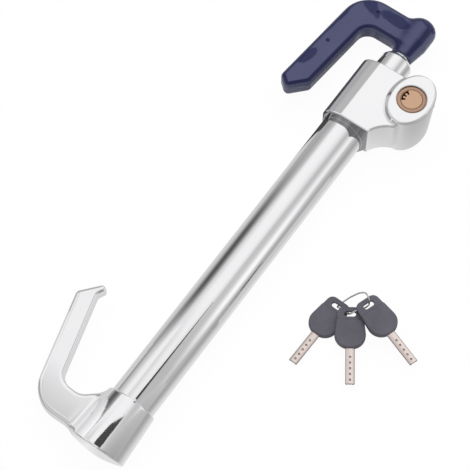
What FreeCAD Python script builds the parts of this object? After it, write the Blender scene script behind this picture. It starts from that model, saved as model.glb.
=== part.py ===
import FreeCAD, Part
import math
import os

# Telescopic steering wheel and pedal lock with its three keys.
# Pieces are drawn in the lock's frame: the tube's axis is the X axis, the foot end is at x = 0,
# both hooks reach towards +Y and the key goes in from +Z. The last step stands the set on z = 0
# with the origin under the middle of its footprint. All lengths are in millimetres.

Vec = FreeCAD.Vector
X_AXIS, Y_AXIS, Z_AXIS = Vec(1, 0, 0), Vec(0, 1, 0), Vec(0, 0, 1)

# Clearances
running_gap = 0.05      # radial gap of a shaft or plug that turns or slides in its bore
sliding_gap = 0.2       # gap beside a piece that slides on flat faces
key_level_gap = 0.2     # gap between two keys that lie on each other

# Outer tube
tube_diameter = 28.0
tube_wall = 2.5
tube_bare_length = 216.0    # what shows between the foot cap and the lock head
tube_in_head = 20.0

# Foot: conical cap cast in one with the pedal hook
cap_length = 35.0
cap_dome = 1.5                  # how far the shallow end bulges
cap_dome_flat = 8.0             # radius of the bulge's flat middle
cap_end_radius = 17.8
cap_rim_radius = 15.6
cap_floor = 8.0
buffer_length = 19.6
cap_edge_bevel = 1.2
pedal_hook_thickness = 9.0
pedal_hook_bevel = 1.3
pedal_hook_arm_width = 11.2
pedal_hook_reach = 51.5         # height of the arm's outer edge where the bend ends
pedal_hook_slope = 15.5         # degrees between the arm and the tube
pedal_hook_tip_x = 85.0
pedal_tip_length = 11.0         # of the slanted end beyond the arm's last corner
pedal_tip_drop = 9.6            # how much lower than that corner the tip's point lies
pedal_tip_nose = 3.7            # height of the blunt point
pedal_tip_round = 2.0
pedal_shank_outer_x = 5.5
pedal_shank_waist_x = 24.0
pedal_shank_root = 11.0         # height above the cap where the shank is narrowest
pedal_bend_radius = 24.0
pedal_inner_round = 9.0

# Lock head casting
head_length = 45.0
head_wall_right = 17.5          # flat side towards the key boss
head_wall_left = 15.4           # round side towards the hooks
head_top = 20.0
head_pad_edge = 2.8             # the flat pad ends this far beyond the tube's axis
head_pad_round = 1.5
head_shoulder_slope = 31.0      # degrees the shoulder falls from the pad
head_shoulder_round = 4.7
head_bottom_round = 14.0
head_side_foot = -3.0           # lower edge of the flat side
head_edge_bevel = 1.0
mouth_bevel = 1.0
boss_offset_x = 33.0            # key axis from the head's lower face
boss_offset_y = -27.0
boss_half_length = 18.8
boss_half_width = 13.6
boss_bottom = -16.2
boss_draft = 1.9                # what the boss loses on each side down to its foot
boss_end_radius = 12.0          # of the oval's two narrow ends
boss_bevel = 0.8
boss_step_reach = 2.4           # how far the skirt round the boss spreads over the pad
boss_step_sink = 0.6
boss_step_rise = 0.9
neck_foot = -7.8
neck_round = 20.0
neck_inset = 0.5                # keeps the web inside the block's faces
neck_foot_reach = 2.2           # the flank meets the boss this far before its end

# Lock cylinder
barrel_radius = 9.9
barrel_recess = 0.5
barrel_bevel = 0.3
barrel_length = 19.0
plug_radius = 7.2
plug_tail_radius = 5.0
plug_tail_length = 1.9
keyway_radius = 6.0             # middle line of the curved slot
keyway_width = 1.4
keyway_half_angle = 37.0
keyway_rib_angle = 23.0
keyway_rib_radius = 0.8
keyway_rib_sink = 0.6           # of the ribs' centres inside the slot's hollow edge
crank_pin_radius = 1.5
crank_pin_length = 5.4
crank_swing = 45.0              # degrees the pin stands to each side of the bolt's middle
clip_thickness = 0.8
clip_groove_depth = 0.9
clip_set_back = 0.3             # from the barrel's end
clip_outer_radius = 8.4
tumbler_count = 5
tumbler_radius = 0.8
tumbler_length = 5.0
tumbler_pitch = 3.2
cylinder_pin_radius = 1.25

# Bolt and its spring
bolt_width = 10.0
bolt_thickness = 6.0
bolt_nose_width = 3.0
bolt_nose_length = 9.0
bolt_tail_end_y = -31.5
bolt_top = 0.6
bolt_stroke = 1.6
bolt_tail_gap = 0.5             # between the plug's tail and the bolt
spring_half_height = 2.2
spring_width = 5.0
spring_leaf = 0.5
spring_folds = 4
spring_seat_depth = 0.6
spring_end_gap = 0.05
bolt_pocket_end_y = -37.0

# Inner rod with its ring grooves, stop collar and guide bush
rod_radius = 6.0
rod_neck_length = 3.5
rod_flange_radius = 8.5
rod_flange_length = 4.7
rod_flange_edge = 0.8
rod_end_gap = 0.5               # left at each end of the rod's travel
groove_pitch = 22.5
groove_width = 4.2
groove_depth = 1.5
stop_length = 12.0
stop_edge = 1.0
stop_gap = 0.1
stop_end_gap = 0.3             # between the stop and the flange or clip beside it
stop_clip_width = 1.6
stop_clip_radius = 8.5
clip_gate = 3.6                 # mouth of the open clips
bush_radius = 9.0
collar_radius = 10.5
collar_length = 17.5
collar_chamfer_length = 2.5
collar_chamfer_depth = 1.7

# Wheel hook: steel core under a moulded coating
hook_thickness = 14.0
hook_coat = 1.6
hook_bevel = 2.2
hub_length = 31.0
hub_small_radius = 7.0
hub_large_radius = 9.7
hub_cone_length = 12.0
hub_end_round = 6.0             # drawn as two bevels
rod_in_hub = 14.0
cross_arm_inner = 4.5           # from the hub's small end
cross_arm_width = 19.0
hook_arm_width = 15.2
hook_arm_reach = 51.8           # outer edge of the arm at its tip corner
hook_arm_slope = 5.6            # degrees, the arm opens towards its tip
hook_tip_back = 64.0            # tip point behind the hub's small end
hook_bend_outer = 17.0
hook_bend_inner = 9.0
tip_bevel_depth = 3.1
tip_bevel_run = 9.5
tip_bevel_turn = 14.0           # degrees the bevel's edge leans from square to the arm
locator_radius = 1.0
locator_back = 22.0             # of the mark on the arm behind the cross arm's start
locator_drop = 22.0             # of the mark in the bend below the arm's outer edge
locator_share = 0.45            # of the arm's width, mark below the outer edge
locator_bend_share = 0.6        # of the cross arm's width
hook_pin_radius = 2.0

# Fixing pins of the tube
tube_pin_radius = 2.0
tube_pin_recess = 0.3

# Keys and their wire ring
key_head_length = 26.5
key_head_width = 19.4
key_head_ring_width = 14.5
key_head_thickness = 4.4
key_head_bevel = 0.9
key_web_thickness = 1.8
key_web_length = 8.6            # thin zone at the ring end
key_slot_offset = 4.6           # slot centre from the ring end
key_slot_length = 7.0
key_slot_width = 3.2
key_blade_length = 22.5
key_blade_half_angle = 29.0
key_blade_thickness = 1.0
key_rib_radius = 0.5
key_blade_in_head = 9.0
key_slot_x = 160.6              # slot of the lowest key
key_slot_y = -59.2
ring_wire_radius = 0.5
ring_reach = 8.0                # from the lowest key's slot to where the wire turns up
ring_rise = 3.0                 # above the highest key
ring_shift_x = 5.5              # how far the rising wire leans
ring_shift_y = -11.5

# Each key from the lowest up: its slot's place from the lowest one's, as shares of a head's
# length, and the way its blade points
key_places = [
    (0.0, 0.0, 178.0),
    (-0.045, -0.374, -146.3),
    (0.306, -0.626, -110.0),
]

# Stations along the tube's axis
tube_radius = tube_diameter / 2
tube_bore_radius = tube_radius - tube_wall
cap_rim_x = cap_dome + cap_length
head_x = cap_rim_x + tube_bare_length
head_end_x = head_x + head_length
tube_end_x = head_x + tube_in_head
collar_end_x = head_end_x + collar_length
hub_x = collar_end_x + rod_neck_length
stop_stack_length = rod_flange_length + stop_length + 2 * stop_end_gap + stop_clip_width
rod_start_x = cap_floor + buffer_length + rod_end_gap
longest_travel = tube_end_x - rod_end_gap - stop_stack_length - rod_start_x
groove_count = int(longest_travel / groove_pitch + 0.01) + 1
stop_start_x = rod_start_x + rod_flange_length + stop_end_gap
clip_start_x = stop_start_x + stop_length + stop_end_gap
rod_end_x = hub_x + rod_in_hub
crank_radius = bolt_stroke / (2 * math.sin(math.radians(crank_swing)))
hub_end_x = hub_x + hub_length
key_x = head_x + boss_offset_x
key_y = boss_offset_y
floor_z = -cap_end_radius
head_foot = -cap_end_radius
barrel_top = bolt_top + bolt_tail_gap + plug_tail_length + barrel_length
boss_top = barrel_top + barrel_recess
barrel_foot = barrel_top - barrel_length
bolt_foot = bolt_top - bolt_thickness


def arc_between(start, middle, end):
    return Part.Arc(start, middle, end).toShape()


def rounded_outline(corners, place):
    """Closed wire through (u, v, radius) corners; place turns (u, v) into a point."""
    edges = []
    count = len(corners)
    joints = []
    for i in range(count):
        u, v, radius = corners[i]
        here = Vec(u, v, 0)
        back = Vec(*corners[i - 1][:2], 0) - here
        ahead = Vec(*corners[(i + 1) % count][:2], 0) - here
        back.normalize()
        ahead.normalize()
        half = back.getAngle(ahead) / 2
        if radius <= 0:
            joints.append((here, here, here))
            continue
        reach = radius / math.tan(half)
        bisector = back + ahead
        bisector.normalize()
        centre = here + bisector * (radius / math.sin(half))
        joints.append((here + back * reach, centre - bisector * radius, here + ahead * reach))
    for i in range(count):
        start, middle, end = [place(p.x, p.y) for p in joints[i]]
        following = place(joints[(i + 1) % count][0].x, joints[(i + 1) % count][0].y)
        if start.distanceToPoint(end) > 1e-6:
            edges.append(arc_between(start, middle, end))
        if end.distanceToPoint(following) > 1e-6:
            edges.append(Part.makeLine(end, following))
    return Part.Wire(edges)


def on_plan(z):
    return lambda u, v: Vec(u, v, z)


def on_section(x):
    return lambda u, v: Vec(x, u, v)


def plate(corners, bottom, top):
    outline = rounded_outline(corners, on_plan(bottom))
    return Part.Face(outline).extrude(Vec(0, 0, top - bottom))


def turned(profile):
    """Solid of revolution about the tube's axis from (x, radius) points."""
    points = [Vec(x, radius, 0) for x, radius in profile]
    outline = Part.makePolygon(points + points[:1])
    return Part.Face(outline).revolve(Vec(0, 0, 0), X_AXIS, 360)


def rod_between(start, end, radius):
    along = end - start
    return Part.makeCylinder(radius, along.Length, start, along)


def box_between(low, high):
    return Part.makeBox(high[0] - low[0], high[1] - low[1], high[2] - low[2], Vec(*low))


def edges_at_height(solid, z):
    box_list = [(edge, edge.BoundBox) for edge in solid.Edges]
    return [edge for edge, box in box_list if abs(box.ZMin - z) < 1e-4 and abs(box.ZMax - z) < 1e-4]


def bevelled_plate(corners, thickness, bevel):
    """Plate centred on z = 0 with its upper and lower edges bevelled."""
    solid = plate(corners, -thickness / 2, thickness / 2)
    rims = edges_at_height(solid, thickness / 2) + edges_at_height(solid, -thickness / 2)
    return solid.makeChamfer(bevel, rims)


# ---- tube and foot ----

def make_outer_tube():
    outer = rod_between(Vec(cap_floor, 0, 0), Vec(tube_end_x, 0, 0), tube_radius)
    bore = rod_between(Vec(cap_floor, 0, 0), Vec(tube_end_x, 0, 0), tube_bore_radius)
    return outer.cut(bore)


def cap_radius_at(x):
    share = (x - cap_dome) / cap_length
    return cap_end_radius + (cap_rim_radius - cap_end_radius) * share


def make_cap_cone():
    """Cone with a bevelled rim and a shallow bulging end."""
    side_x = cap_dome + cap_edge_bevel
    return turned([
        (0, 0),
        (0, cap_dome_flat),
        (cap_dome, cap_end_radius - cap_edge_bevel),
        (side_x, cap_radius_at(side_x)),
        (cap_rim_x, cap_rim_radius),
        (cap_rim_x, 0),
    ])


def pedal_hook_outline():
    slope = math.tan(math.radians(pedal_hook_slope))
    drop = pedal_hook_arm_width / math.cos(math.radians(pedal_hook_slope))
    bend_end_x = pedal_shank_outer_x + 0.6 * pedal_bend_radius

    def arm_edge(x):
        return pedal_hook_reach + slope * (x - bend_end_x)

    tip_corner_x = pedal_hook_tip_x - pedal_tip_length
    tip_y = arm_edge(tip_corner_x) - pedal_tip_drop
    inner_x = pedal_hook_tip_x - 0.6 * pedal_tip_length
    foot_x = cap_dome + cap_edge_bevel
    rim_x = cap_rim_x - pedal_tip_round
    waist_x = pedal_shank_waist_x
    return [
        (foot_x, 0, 0),
        (foot_x, cap_end_radius, pedal_tip_round),
        (pedal_shank_outer_x, cap_end_radius + pedal_shank_root / 2, pedal_inner_round),
        (pedal_shank_outer_x, arm_edge(pedal_shank_outer_x), pedal_bend_radius),
        (tip_corner_x, arm_edge(tip_corner_x), 2 * pedal_tip_round),
        (pedal_hook_tip_x, tip_y, pedal_tip_round),
        (pedal_hook_tip_x - pedal_tip_round / 2, tip_y - pedal_tip_nose, pedal_tip_round),
        (inner_x, arm_edge(inner_x) - drop, 2 * pedal_tip_round),
        (waist_x, arm_edge(waist_x) - drop, pedal_inner_round),
        (waist_x, cap_end_radius + pedal_shank_root, pedal_inner_round),
        (rim_x, cap_rim_radius, pedal_tip_round),
        (rim_x, 0, 0),
    ]


def make_pedal_hook():
    hook = bevelled_plate(pedal_hook_outline(), pedal_hook_thickness, pedal_hook_bevel)
    half = pedal_hook_thickness
    below = box_between((0, -half, -half), (cap_rim_x, 0.5 * cap_rim_radius, half))
    foot = make_cap_cone().fuse(hook.cut(below)).removeSplitter()
    bore = rod_between(Vec(cap_floor, 0, 0), Vec(cap_rim_x + 1, 0, 0), tube_radius + running_gap)
    return foot.cut(bore)


def make_tube_buffer():
    body = rod_between(Vec(cap_floor, 0, 0), Vec(cap_floor + buffer_length, 0, 0),
                       tube_bore_radius - stop_gap)
    relief = rod_between(Vec(cap_floor + 4, 0, 0), Vec(cap_floor + buffer_length, 0, 0),
                         tube_bore_radius / 2)
    return body.cut(relief)


def tube_pin_places():
    """x and outer end of each fixing pin on the underside."""
    cap_pin_x = cap_floor + 12
    first_x = head_x + 6
    second_x = head_x + 14
    return [
        (cap_pin_x, -cap_radius_at(cap_pin_x) + tube_pin_recess),
        (first_x, head_foot + tube_pin_recess),
        (second_x, head_foot + tube_pin_recess),
    ]


def make_tube_pins():
    inner_z = -tube_bore_radius - 0.2
    pins = [rod_between(Vec(x, 0, z), Vec(x, 0, inner_z), tube_pin_radius) for x, z in tube_pin_places()]
    return Part.makeCompound(pins)


def tube_pin_holes():
    holes = [rod_between(Vec(x, 0, z - 2), Vec(x, 0, -tube_bore_radius + 1), tube_pin_radius)
             for x, z in tube_pin_places()]
    return Part.makeCompound(holes)


# ---- lock head ----

def make_head_block():
    shoulder_run = head_wall_left - head_pad_edge
    shoulder_foot = head_top - shoulder_run * math.tan(math.radians(head_shoulder_slope))
    corners = [
        (-head_wall_right, head_top, 0),
        (head_pad_edge, head_top, head_pad_round),
        (head_wall_left, shoulder_foot, head_shoulder_round),
        (head_wall_left, head_foot, head_bottom_round),
        (-9.0, head_foot, 6),
        (-head_wall_right, head_side_foot, 3),
    ]
    section = rounded_outline(corners, on_section(head_x))
    block = Part.Face(section).extrude(Vec(head_length, 0, 0))
    mouth = [edge for edge in block.Edges
             if abs(edge.BoundBox.XMax - head_x) < 1e-4 and edge.BoundBox.ZMin < head_top - 0.01]
    return block.makeChamfer(mouth_bevel, mouth)


def oval_arcs():
    """Centre, radius and half sweep of the four arcs of the boss's oval, with the way each one faces."""
    end_shift = boss_half_length - boss_end_radius
    side_radius = ((end_shift ** 2 + boss_half_width ** 2 - boss_end_radius ** 2)
                   / (2 * (boss_half_width - boss_end_radius)))
    side_shift = side_radius - boss_half_width
    end_sweep = math.degrees(math.atan2(side_shift, end_shift))
    return [
        (end_shift, 0, boss_end_radius, 0, end_sweep),
        (-end_shift, 0, boss_end_radius, 180, end_sweep),
        (0, -side_shift, side_radius, 90, 90 - end_sweep),
        (0, side_shift, side_radius, 270, 90 - end_sweep),
    ]


def oval_turned(profile):
    """Oval solid about the key axis; the profile gives each height and how far inside the oval it lies."""
    sectors = []
    for shift_x, shift_y, radius, facing, sweep in oval_arcs():
        rim = [Vec(radius - inside, 0, z) for inside, z in profile]
        points = [Vec(0, 0, rim[0].z)] + rim + [Vec(0, 0, rim[-1].z)]
        half = Part.Face(Part.makePolygon(points + points[:1]))
        sector = half.revolve(Vec(0, 0, 0), Z_AXIS, 2 * sweep)
        sector.rotate(Vec(0, 0, 0), Z_AXIS, facing - sweep)
        sector.translate(Vec(key_x + shift_x, key_y + shift_y, 0))
        sectors.append(sector)
    return sectors[0].fuse(sectors[1:]).removeSplitter()


def make_boss():
    return oval_turned([
        (boss_draft + boss_bevel, boss_bottom),
        (boss_draft, boss_bottom + boss_bevel),
        (0, boss_top - boss_bevel),
        (boss_bevel, boss_top),
    ])


def make_boss_step():
    """Low skirt round the boss where it grows out of the flat pad."""
    foot = head_top - boss_step_sink
    skirt = oval_turned([(-boss_step_reach, foot), (sliding_gap, head_top + boss_step_rise)])
    pad = box_between((head_x + 2 * boss_step_reach, -head_wall_right, foot),
                      (head_end_x - head_edge_bevel, 0, boss_top))
    return skirt.common(pad.fuse(neck_plan_solid(foot, boss_top)))


def neck_plan_solid(bottom, top):
    """Web with a hollow flank between the block's mouth and the boss."""
    start = Vec(head_x + neck_inset, -head_wall_right + neck_inset, bottom)
    end = Vec(key_x - boss_half_length - neck_foot_reach, key_y - 3 * neck_inset, bottom)
    inside = Vec(key_x, key_y - 2 * neck_foot_reach, bottom)
    chord = end - start
    normal = Vec(chord.y, -chord.x, 0)
    normal.normalize()
    sag = neck_round - math.sqrt(neck_round ** 2 - (chord.Length / 2) ** 2)
    middle = (start + end) * 0.5 - normal * sag
    back = Vec(key_x, -head_wall_right + neck_foot_reach, bottom)
    corner = Vec(start.x, back.y, bottom)
    edges = [
        arc_between(start, middle, end),
        Part.makeLine(end, inside),
        Part.makeLine(inside, back),
        Part.makeLine(back, corner),
        Part.makeLine(corner, start),
    ]
    return Part.Face(Part.Wire(edges)).extrude(Vec(0, 0, top - bottom))


def bolt_channel():
    gap = sliding_gap
    half = bolt_width / 2 + gap
    nose_half = bolt_nose_width / 2 + gap
    nose_start = nose_root_y() - gap
    tail = box_between((key_x - half, bolt_pocket_end_y, bolt_foot - gap),
                       (key_x + half, nose_root_y() + bolt_stroke + 0.5, bolt_top + gap))
    nose = box_between((key_x - nose_half, nose_start, bolt_foot - gap),
                       (key_x + nose_half, 0, bolt_top + gap))
    return tail.fuse(nose)


def plug_pocket_corners(gap):
    half = bolt_width / 2 + sliding_gap - gap
    return [
        (key_x - half, bolt_pocket_end_y + gap, 3),
        (key_x + half, bolt_pocket_end_y + gap, 3),
        (key_x + half, nose_root_y() - gap, 3),
        (key_x - half, nose_root_y() - gap, 3),
    ]


def make_lock_housing():
    neck = neck_plan_solid(neck_foot, head_top)
    body = make_head_block().fuse([neck, make_boss(), make_boss_step()])
    tube_seat = rod_between(Vec(head_x - 1, 0, 0), Vec(tube_end_x, 0, 0), tube_radius + running_gap)
    bush_seat = rod_between(Vec(tube_end_x - 1, 0, 0), Vec(head_end_x + 1, 0, 0), bush_radius)
    barrel_seat = Part.makeCylinder(barrel_radius + running_gap, boss_top - bolt_top + 1,
                                    Vec(key_x, key_y, bolt_top))
    bottom_pocket = plate(plug_pocket_corners(0), boss_bottom - 1, bolt_foot)
    cuts = [tube_seat, bush_seat, barrel_seat, bottom_pocket, bolt_channel(),
            cylinder_pin_hole(), tube_pin_holes()]
    return body.cut(cuts).removeSplitter()


def make_bottom_plug():
    return plate(plug_pocket_corners(0), boss_bottom + 0.2, bolt_foot - sliding_gap)


def cylinder_pin_axis():
    z = barrel_foot + 0.35 * barrel_length
    y = key_y - barrel_radius
    return Vec(key_x - 4, y, z), Vec(key_x + boss_half_length, y, z)


def cylinder_pin_hole():
    start, end = cylinder_pin_axis()
    return rod_between(start, end, cylinder_pin_radius)


def make_cylinder_pin():
    start, end = cylinder_pin_axis()
    reach = boss_half_length * math.sqrt(1 - (barrel_radius / boss_half_width) ** 2)
    return rod_between(start, Vec(key_x + reach - 2.5, end.y, end.z), cylinder_pin_radius)


# ---- lock cylinder ----

def polar(radius, angle, z):
    turn = math.radians(angle)
    return Vec(key_x + radius * math.cos(turn), key_y + radius * math.sin(turn), z)


def curved_slot(radius, width, half_angle, bottom, top):
    """Arc-shaped bar about the key axis, its middle towards the hooks."""
    low, high = 90 - half_angle, 90 + half_angle
    inner, outer = radius - width / 2, radius + width / 2
    edges = [
        arc_between(polar(inner, low, bottom), polar(inner, 90, bottom), polar(inner, high, bottom)),
        Part.makeLine(polar(inner, high, bottom), polar(outer, high, bottom)),
        arc_between(polar(outer, high, bottom), polar(outer, 90, bottom), polar(outer, low, bottom)),
        Part.makeLine(polar(outer, low, bottom), polar(inner, low, bottom)),
    ]
    return Part.Face(Part.Wire(edges)).extrude(Vec(0, 0, top - bottom))


def keyway_cut():
    bottom = barrel_foot
    top = barrel_top + 1
    slot = curved_slot(keyway_radius, keyway_width, keyway_half_angle, bottom, top)
    inner = keyway_radius - keyway_width / 2 - keyway_rib_sink
    ribs = [Part.makeCylinder(keyway_rib_radius, top - bottom, polar(inner, 90 + turn, bottom))
            for turn in (-keyway_rib_angle, 0, keyway_rib_angle)]
    return slot.fuse(ribs)


def make_cylinder_barrel():
    barrel = Part.makeCylinder(barrel_radius, barrel_length, Vec(key_x, key_y, barrel_foot))
    bore = Part.makeCylinder(plug_radius + running_gap, barrel_length, Vec(key_x, key_y, barrel_foot))
    rim = edges_at_height(barrel, barrel_top)
    return barrel.makeChamfer(barrel_bevel, rim).cut([bore, cylinder_pin_hole()])


def tumbler_axes():
    inner = keyway_radius - keyway_width / 2 - keyway_rib_sink - keyway_rib_radius
    first = barrel_top - 3.5
    for i in range(tumbler_count):
        z = first - i * tumbler_pitch
        yield Vec(key_x, key_y + inner - 0.4, z), Vec(key_x, key_y + inner - 0.4 - tumbler_length, z)


def make_tumbler_pins():
    return Part.makeCompound([rod_between(a, b, tumbler_radius) for a, b in tumbler_axes()])


def tumbler_holes():
    holes = []
    for start, end in tumbler_axes():
        holes.append(rod_between(start + Vec(0, 1, 0), end, tumbler_radius + running_gap))
    return holes


def make_cylinder_plug():
    plug = Part.makeCylinder(plug_radius, barrel_length, Vec(key_x, key_y, barrel_foot))
    tail_foot = barrel_foot - plug_tail_length
    tail = Part.makeCylinder(plug_tail_radius, plug_tail_length, Vec(key_x, key_y, tail_foot))
    pin = Part.makeCylinder(crank_pin_radius, crank_pin_length,
                            polar(crank_radius, -crank_swing, tail_foot - crank_pin_length))
    return plug.fuse([tail, pin]).cut([keyway_cut(), clip_ring(plug_tail_radius + 1)] + tumbler_holes())


def clip_ring(outer):
    z = barrel_foot - clip_set_back - clip_thickness
    ring = Part.makeCylinder(outer, clip_thickness, Vec(key_x, key_y, z))
    return ring.cut(Part.makeCylinder(plug_tail_radius - clip_groove_depth, clip_thickness, Vec(key_x, key_y, z)))


def make_plug_clip():
    ring = clip_ring(clip_outer_radius)
    half = clip_gate / 2
    gate = box_between((key_x - half, key_y, barrel_foot - plug_tail_length),
                       (key_x + half, key_y + clip_outer_radius + 1, barrel_foot))
    return ring.cut(gate)


# ---- bolt ----

def nose_tip_y():
    return -rod_radius - 0.35


def nose_root_y():
    return nose_tip_y() - bolt_nose_length


def make_lock_bolt():
    half = bolt_width / 2
    tail = box_between((key_x - half, bolt_tail_end_y, bolt_foot), (key_x + half, nose_root_y(), bolt_top))
    nose = box_between((key_x - bolt_nose_width / 2, nose_root_y() - 1, bolt_foot),
                       (key_x + bolt_nose_width / 2, nose_tip_y(), bolt_top))
    pin = polar(crank_radius, -crank_swing, bolt_foot - 1)
    across = crank_radius * (1 - math.cos(math.radians(crank_swing)))
    reach = crank_pin_radius + sliding_gap
    left = pin.x - reach - sliding_gap
    right = pin.x + across + reach + sliding_gap
    low, high = pin.y - reach, pin.y + reach
    corner = 0.95 * reach
    slot = plate([(left, low, corner), (right, low, corner), (right, high, corner), (left, high, corner)],
                 bolt_foot - 1, bolt_top + 1)
    half_seat = spring_half_height + sliding_gap
    half_width = spring_width / 2 + sliding_gap
    seat = box_between((key_x - half_width, bolt_tail_end_y - 1, spring_z() - half_seat),
                       (key_x + half_width, bolt_tail_end_y + spring_seat_depth, spring_z() + half_seat))
    return tail.fuse(nose).cut([slot, seat])


def spring_z():
    return (bolt_top + bolt_foot) / 2


def make_bolt_spring():
    """Flat spring folded to and fro between the pocket's end and the bolt."""
    start = bolt_pocket_end_y + spring_end_gap
    length = bolt_tail_end_y + spring_seat_depth - spring_end_gap - start
    step = (length - spring_leaf) / spring_folds
    middle = spring_z()
    leaves = []
    for fold in range(spring_folds + 1):
        y = start + fold * step
        leaves.append(box_between((key_x - spring_width / 2, y, middle - spring_half_height + step / 2),
                                  (key_x + spring_width / 2, y + spring_leaf,
                                   middle + spring_half_height - step / 2)))
    for fold in range(spring_folds):
        side = 1 if fold % 2 == 0 else -1
        y = start + fold * step + (step + spring_leaf) / 2
        z = middle + side * (spring_half_height - step / 2)
        leaves.append(spring_fold(y, z, side, (step + spring_leaf) / 2))
    return leaves[0].fuse(leaves[1:]).removeSplitter()


def spring_fold(y, z, side, outer):
    """Half-round bend that joins two leaves of the spring."""
    left = Vec(key_x - spring_width / 2, y, z)
    bend = Part.makeCylinder(outer, spring_width, left, X_AXIS)
    bend = bend.cut(Part.makeCylinder(outer - spring_leaf, spring_width, left, X_AXIS))
    low_z, high_z = (z, z + outer) if side > 0 else (z - outer, z)
    return bend.common(box_between((left.x, y - outer, low_z), (left.x + spring_width, y + outer, high_z)))


# ---- rod and bush ----

def make_guide_bush():
    inner = rod_between(Vec(tube_end_x, 0, 0), Vec(head_end_x, 0, 0), bush_radius)
    chamfer_x = collar_end_x - collar_chamfer_length
    collar = turned([
        (head_end_x, 0),
        (head_end_x, collar_radius),
        (chamfer_x, collar_radius),
        (collar_end_x, collar_radius - collar_chamfer_depth),
        (collar_end_x, 0),
    ])
    bore = rod_between(Vec(tube_end_x - 1, 0, 0), Vec(collar_end_x + 1, 0, 0), rod_radius + running_gap)
    window = box_between((key_x - bolt_nose_width / 2 - sliding_gap, -bush_radius - 1, bolt_foot - sliding_gap),
                         (key_x + bolt_nose_width / 2 + sliding_gap, 0, bolt_top + sliding_gap))
    return inner.fuse(collar).removeSplitter().cut([bore, window])


def groove_centres():
    return [key_x - i * groove_pitch for i in range(groove_count)]


def make_inner_rod():
    bottom = rod_radius - groove_depth
    flange_edge = rod_flange_radius - rod_flange_edge
    profile = [
        (rod_start_x, 0),
        (rod_start_x, flange_edge),
        (rod_start_x + rod_flange_edge, rod_flange_radius),
        (rod_start_x + rod_flange_length, rod_flange_radius),
        (rod_start_x + rod_flange_length, rod_radius),
        (clip_start_x, rod_radius),
        (clip_start_x, bottom),
        (clip_start_x + stop_clip_width, bottom),
        (clip_start_x + stop_clip_width, rod_radius),
    ]
    for centre in reversed(groove_centres()):
        profile += [
            (centre - groove_width / 2, rod_radius),
            (centre - groove_width / 2, bottom),
            (centre + groove_width / 2, bottom),
            (centre + groove_width / 2, rod_radius),
        ]
    profile += [(rod_end_x, rod_radius), (rod_end_x, 0)]
    return turned(profile).cut(hook_pin_solid())


def make_rod_stop():
    bore = rod_radius + running_gap
    outer = tube_bore_radius - stop_gap
    end_x = stop_start_x + stop_length
    return turned([
        (stop_start_x, bore),
        (stop_start_x, outer - stop_edge),
        (stop_start_x + stop_edge, outer),
        (end_x - stop_edge, outer),
        (end_x, outer - stop_edge),
        (end_x, bore),
    ])


def make_stop_clip():
    bottom = rod_radius - groove_depth
    end_x = clip_start_x + stop_clip_width
    ring = turned([(clip_start_x, bottom), (clip_start_x, stop_clip_radius),
                   (end_x, stop_clip_radius), (end_x, bottom)])
    gate = box_between((clip_start_x - 1, 0, -clip_gate / 2), (end_x + 1, stop_clip_radius + 1, clip_gate / 2))
    return ring.cut(gate)


# ---- wheel hook ----

def hook_arm_line(x):
    """Outer edge of the arm at x."""
    return hook_arm_reach - math.tan(math.radians(hook_arm_slope)) * (x - hook_corner_x())


def hook_corner_x():
    return hub_x - hook_tip_back + 5.5


def wheel_hook_outline(inset):
    outer_x = hub_x + cross_arm_inner + cross_arm_width - inset
    inner_x = hub_x + cross_arm_inner + inset
    drop = hook_arm_width / math.cos(math.radians(hook_arm_slope))
    tip_x = hub_x - hook_tip_back + 1.2 * inset
    inner_tip_x = tip_x + 10.5 - 0.2 * inset
    corner_x = hook_corner_x() + 0.6 * inset
    return [
        (inner_x, 0, 0),
        (outer_x, 0, 0),
        (outer_x, hook_arm_line(outer_x) - inset, hook_bend_outer - inset),
        (corner_x, hook_arm_line(corner_x) - inset, 3),
        (tip_x, hook_arm_line(tip_x) - 0.44 * hook_arm_width, 2.4),
        (inner_tip_x, hook_arm_line(inner_tip_x) - drop + inset, 3),
        (inner_x, hook_arm_line(inner_x) - drop + inset, hook_bend_inner + inset),
    ]


def tip_bevels(inset):
    """Wedges that thin the arm's tip from above and below."""
    half = hook_thickness / 2 - inset
    tip_x = hub_x - hook_tip_back
    low_y, high_y = hook_arm_reach - 2 * hook_arm_width, hook_arm_reach + hook_arm_width
    pivot = Vec(tip_x, hook_arm_reach - hook_arm_width / 2, 0)
    wedges = []
    for side in (1, -1):
        points = [
            Vec(tip_x, low_y, side * (half - tip_bevel_depth)),
            Vec(tip_x + tip_bevel_run, low_y, side * half),
            Vec(tip_x + tip_bevel_run, low_y, side * (half + tip_bevel_depth)),
            Vec(tip_x - tip_bevel_run, low_y, side * (half + tip_bevel_depth)),
            Vec(tip_x - tip_bevel_run, low_y, side * (half - 2 * tip_bevel_depth)),
        ]
        wedge = Part.Face(Part.makePolygon(points + points[:1])).extrude(Vec(0, high_y - low_y, 0))
        wedge.rotate(pivot, Z_AXIS, -tip_bevel_turn)
        wedges.append(wedge)
    return wedges


def make_hub(inset):
    large = hub_large_radius - inset
    end_x = hub_end_x - inset
    turn = math.radians(45)
    middle_x = end_x - hub_end_round * (1 - math.sin(turn))
    middle_radius = large - hub_end_round * (1 - math.cos(turn))
    return turned([
        (hub_x, 0),
        (hub_x, hub_small_radius - inset),
        (hub_x + hub_cone_length, large),
        (end_x - hub_end_round, large),
        (middle_x, middle_radius),
        (end_x, large - hub_end_round),
        (end_x, 0),
    ])


def make_hook_form(inset):
    arm = bevelled_plate(wheel_hook_outline(inset), hook_thickness - 2 * inset, hook_bevel - 0.6 * inset)
    arm = arm.cut(tip_bevels(inset))
    return arm.fuse(make_hub(inset)).removeSplitter()


def rod_socket():
    return rod_between(Vec(hub_x - 1, 0, 0), Vec(rod_end_x, 0, 0), rod_radius)


def make_hook_core():
    return make_hook_form(hook_coat).cut([rod_socket(), hook_pin_solid()])


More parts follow.
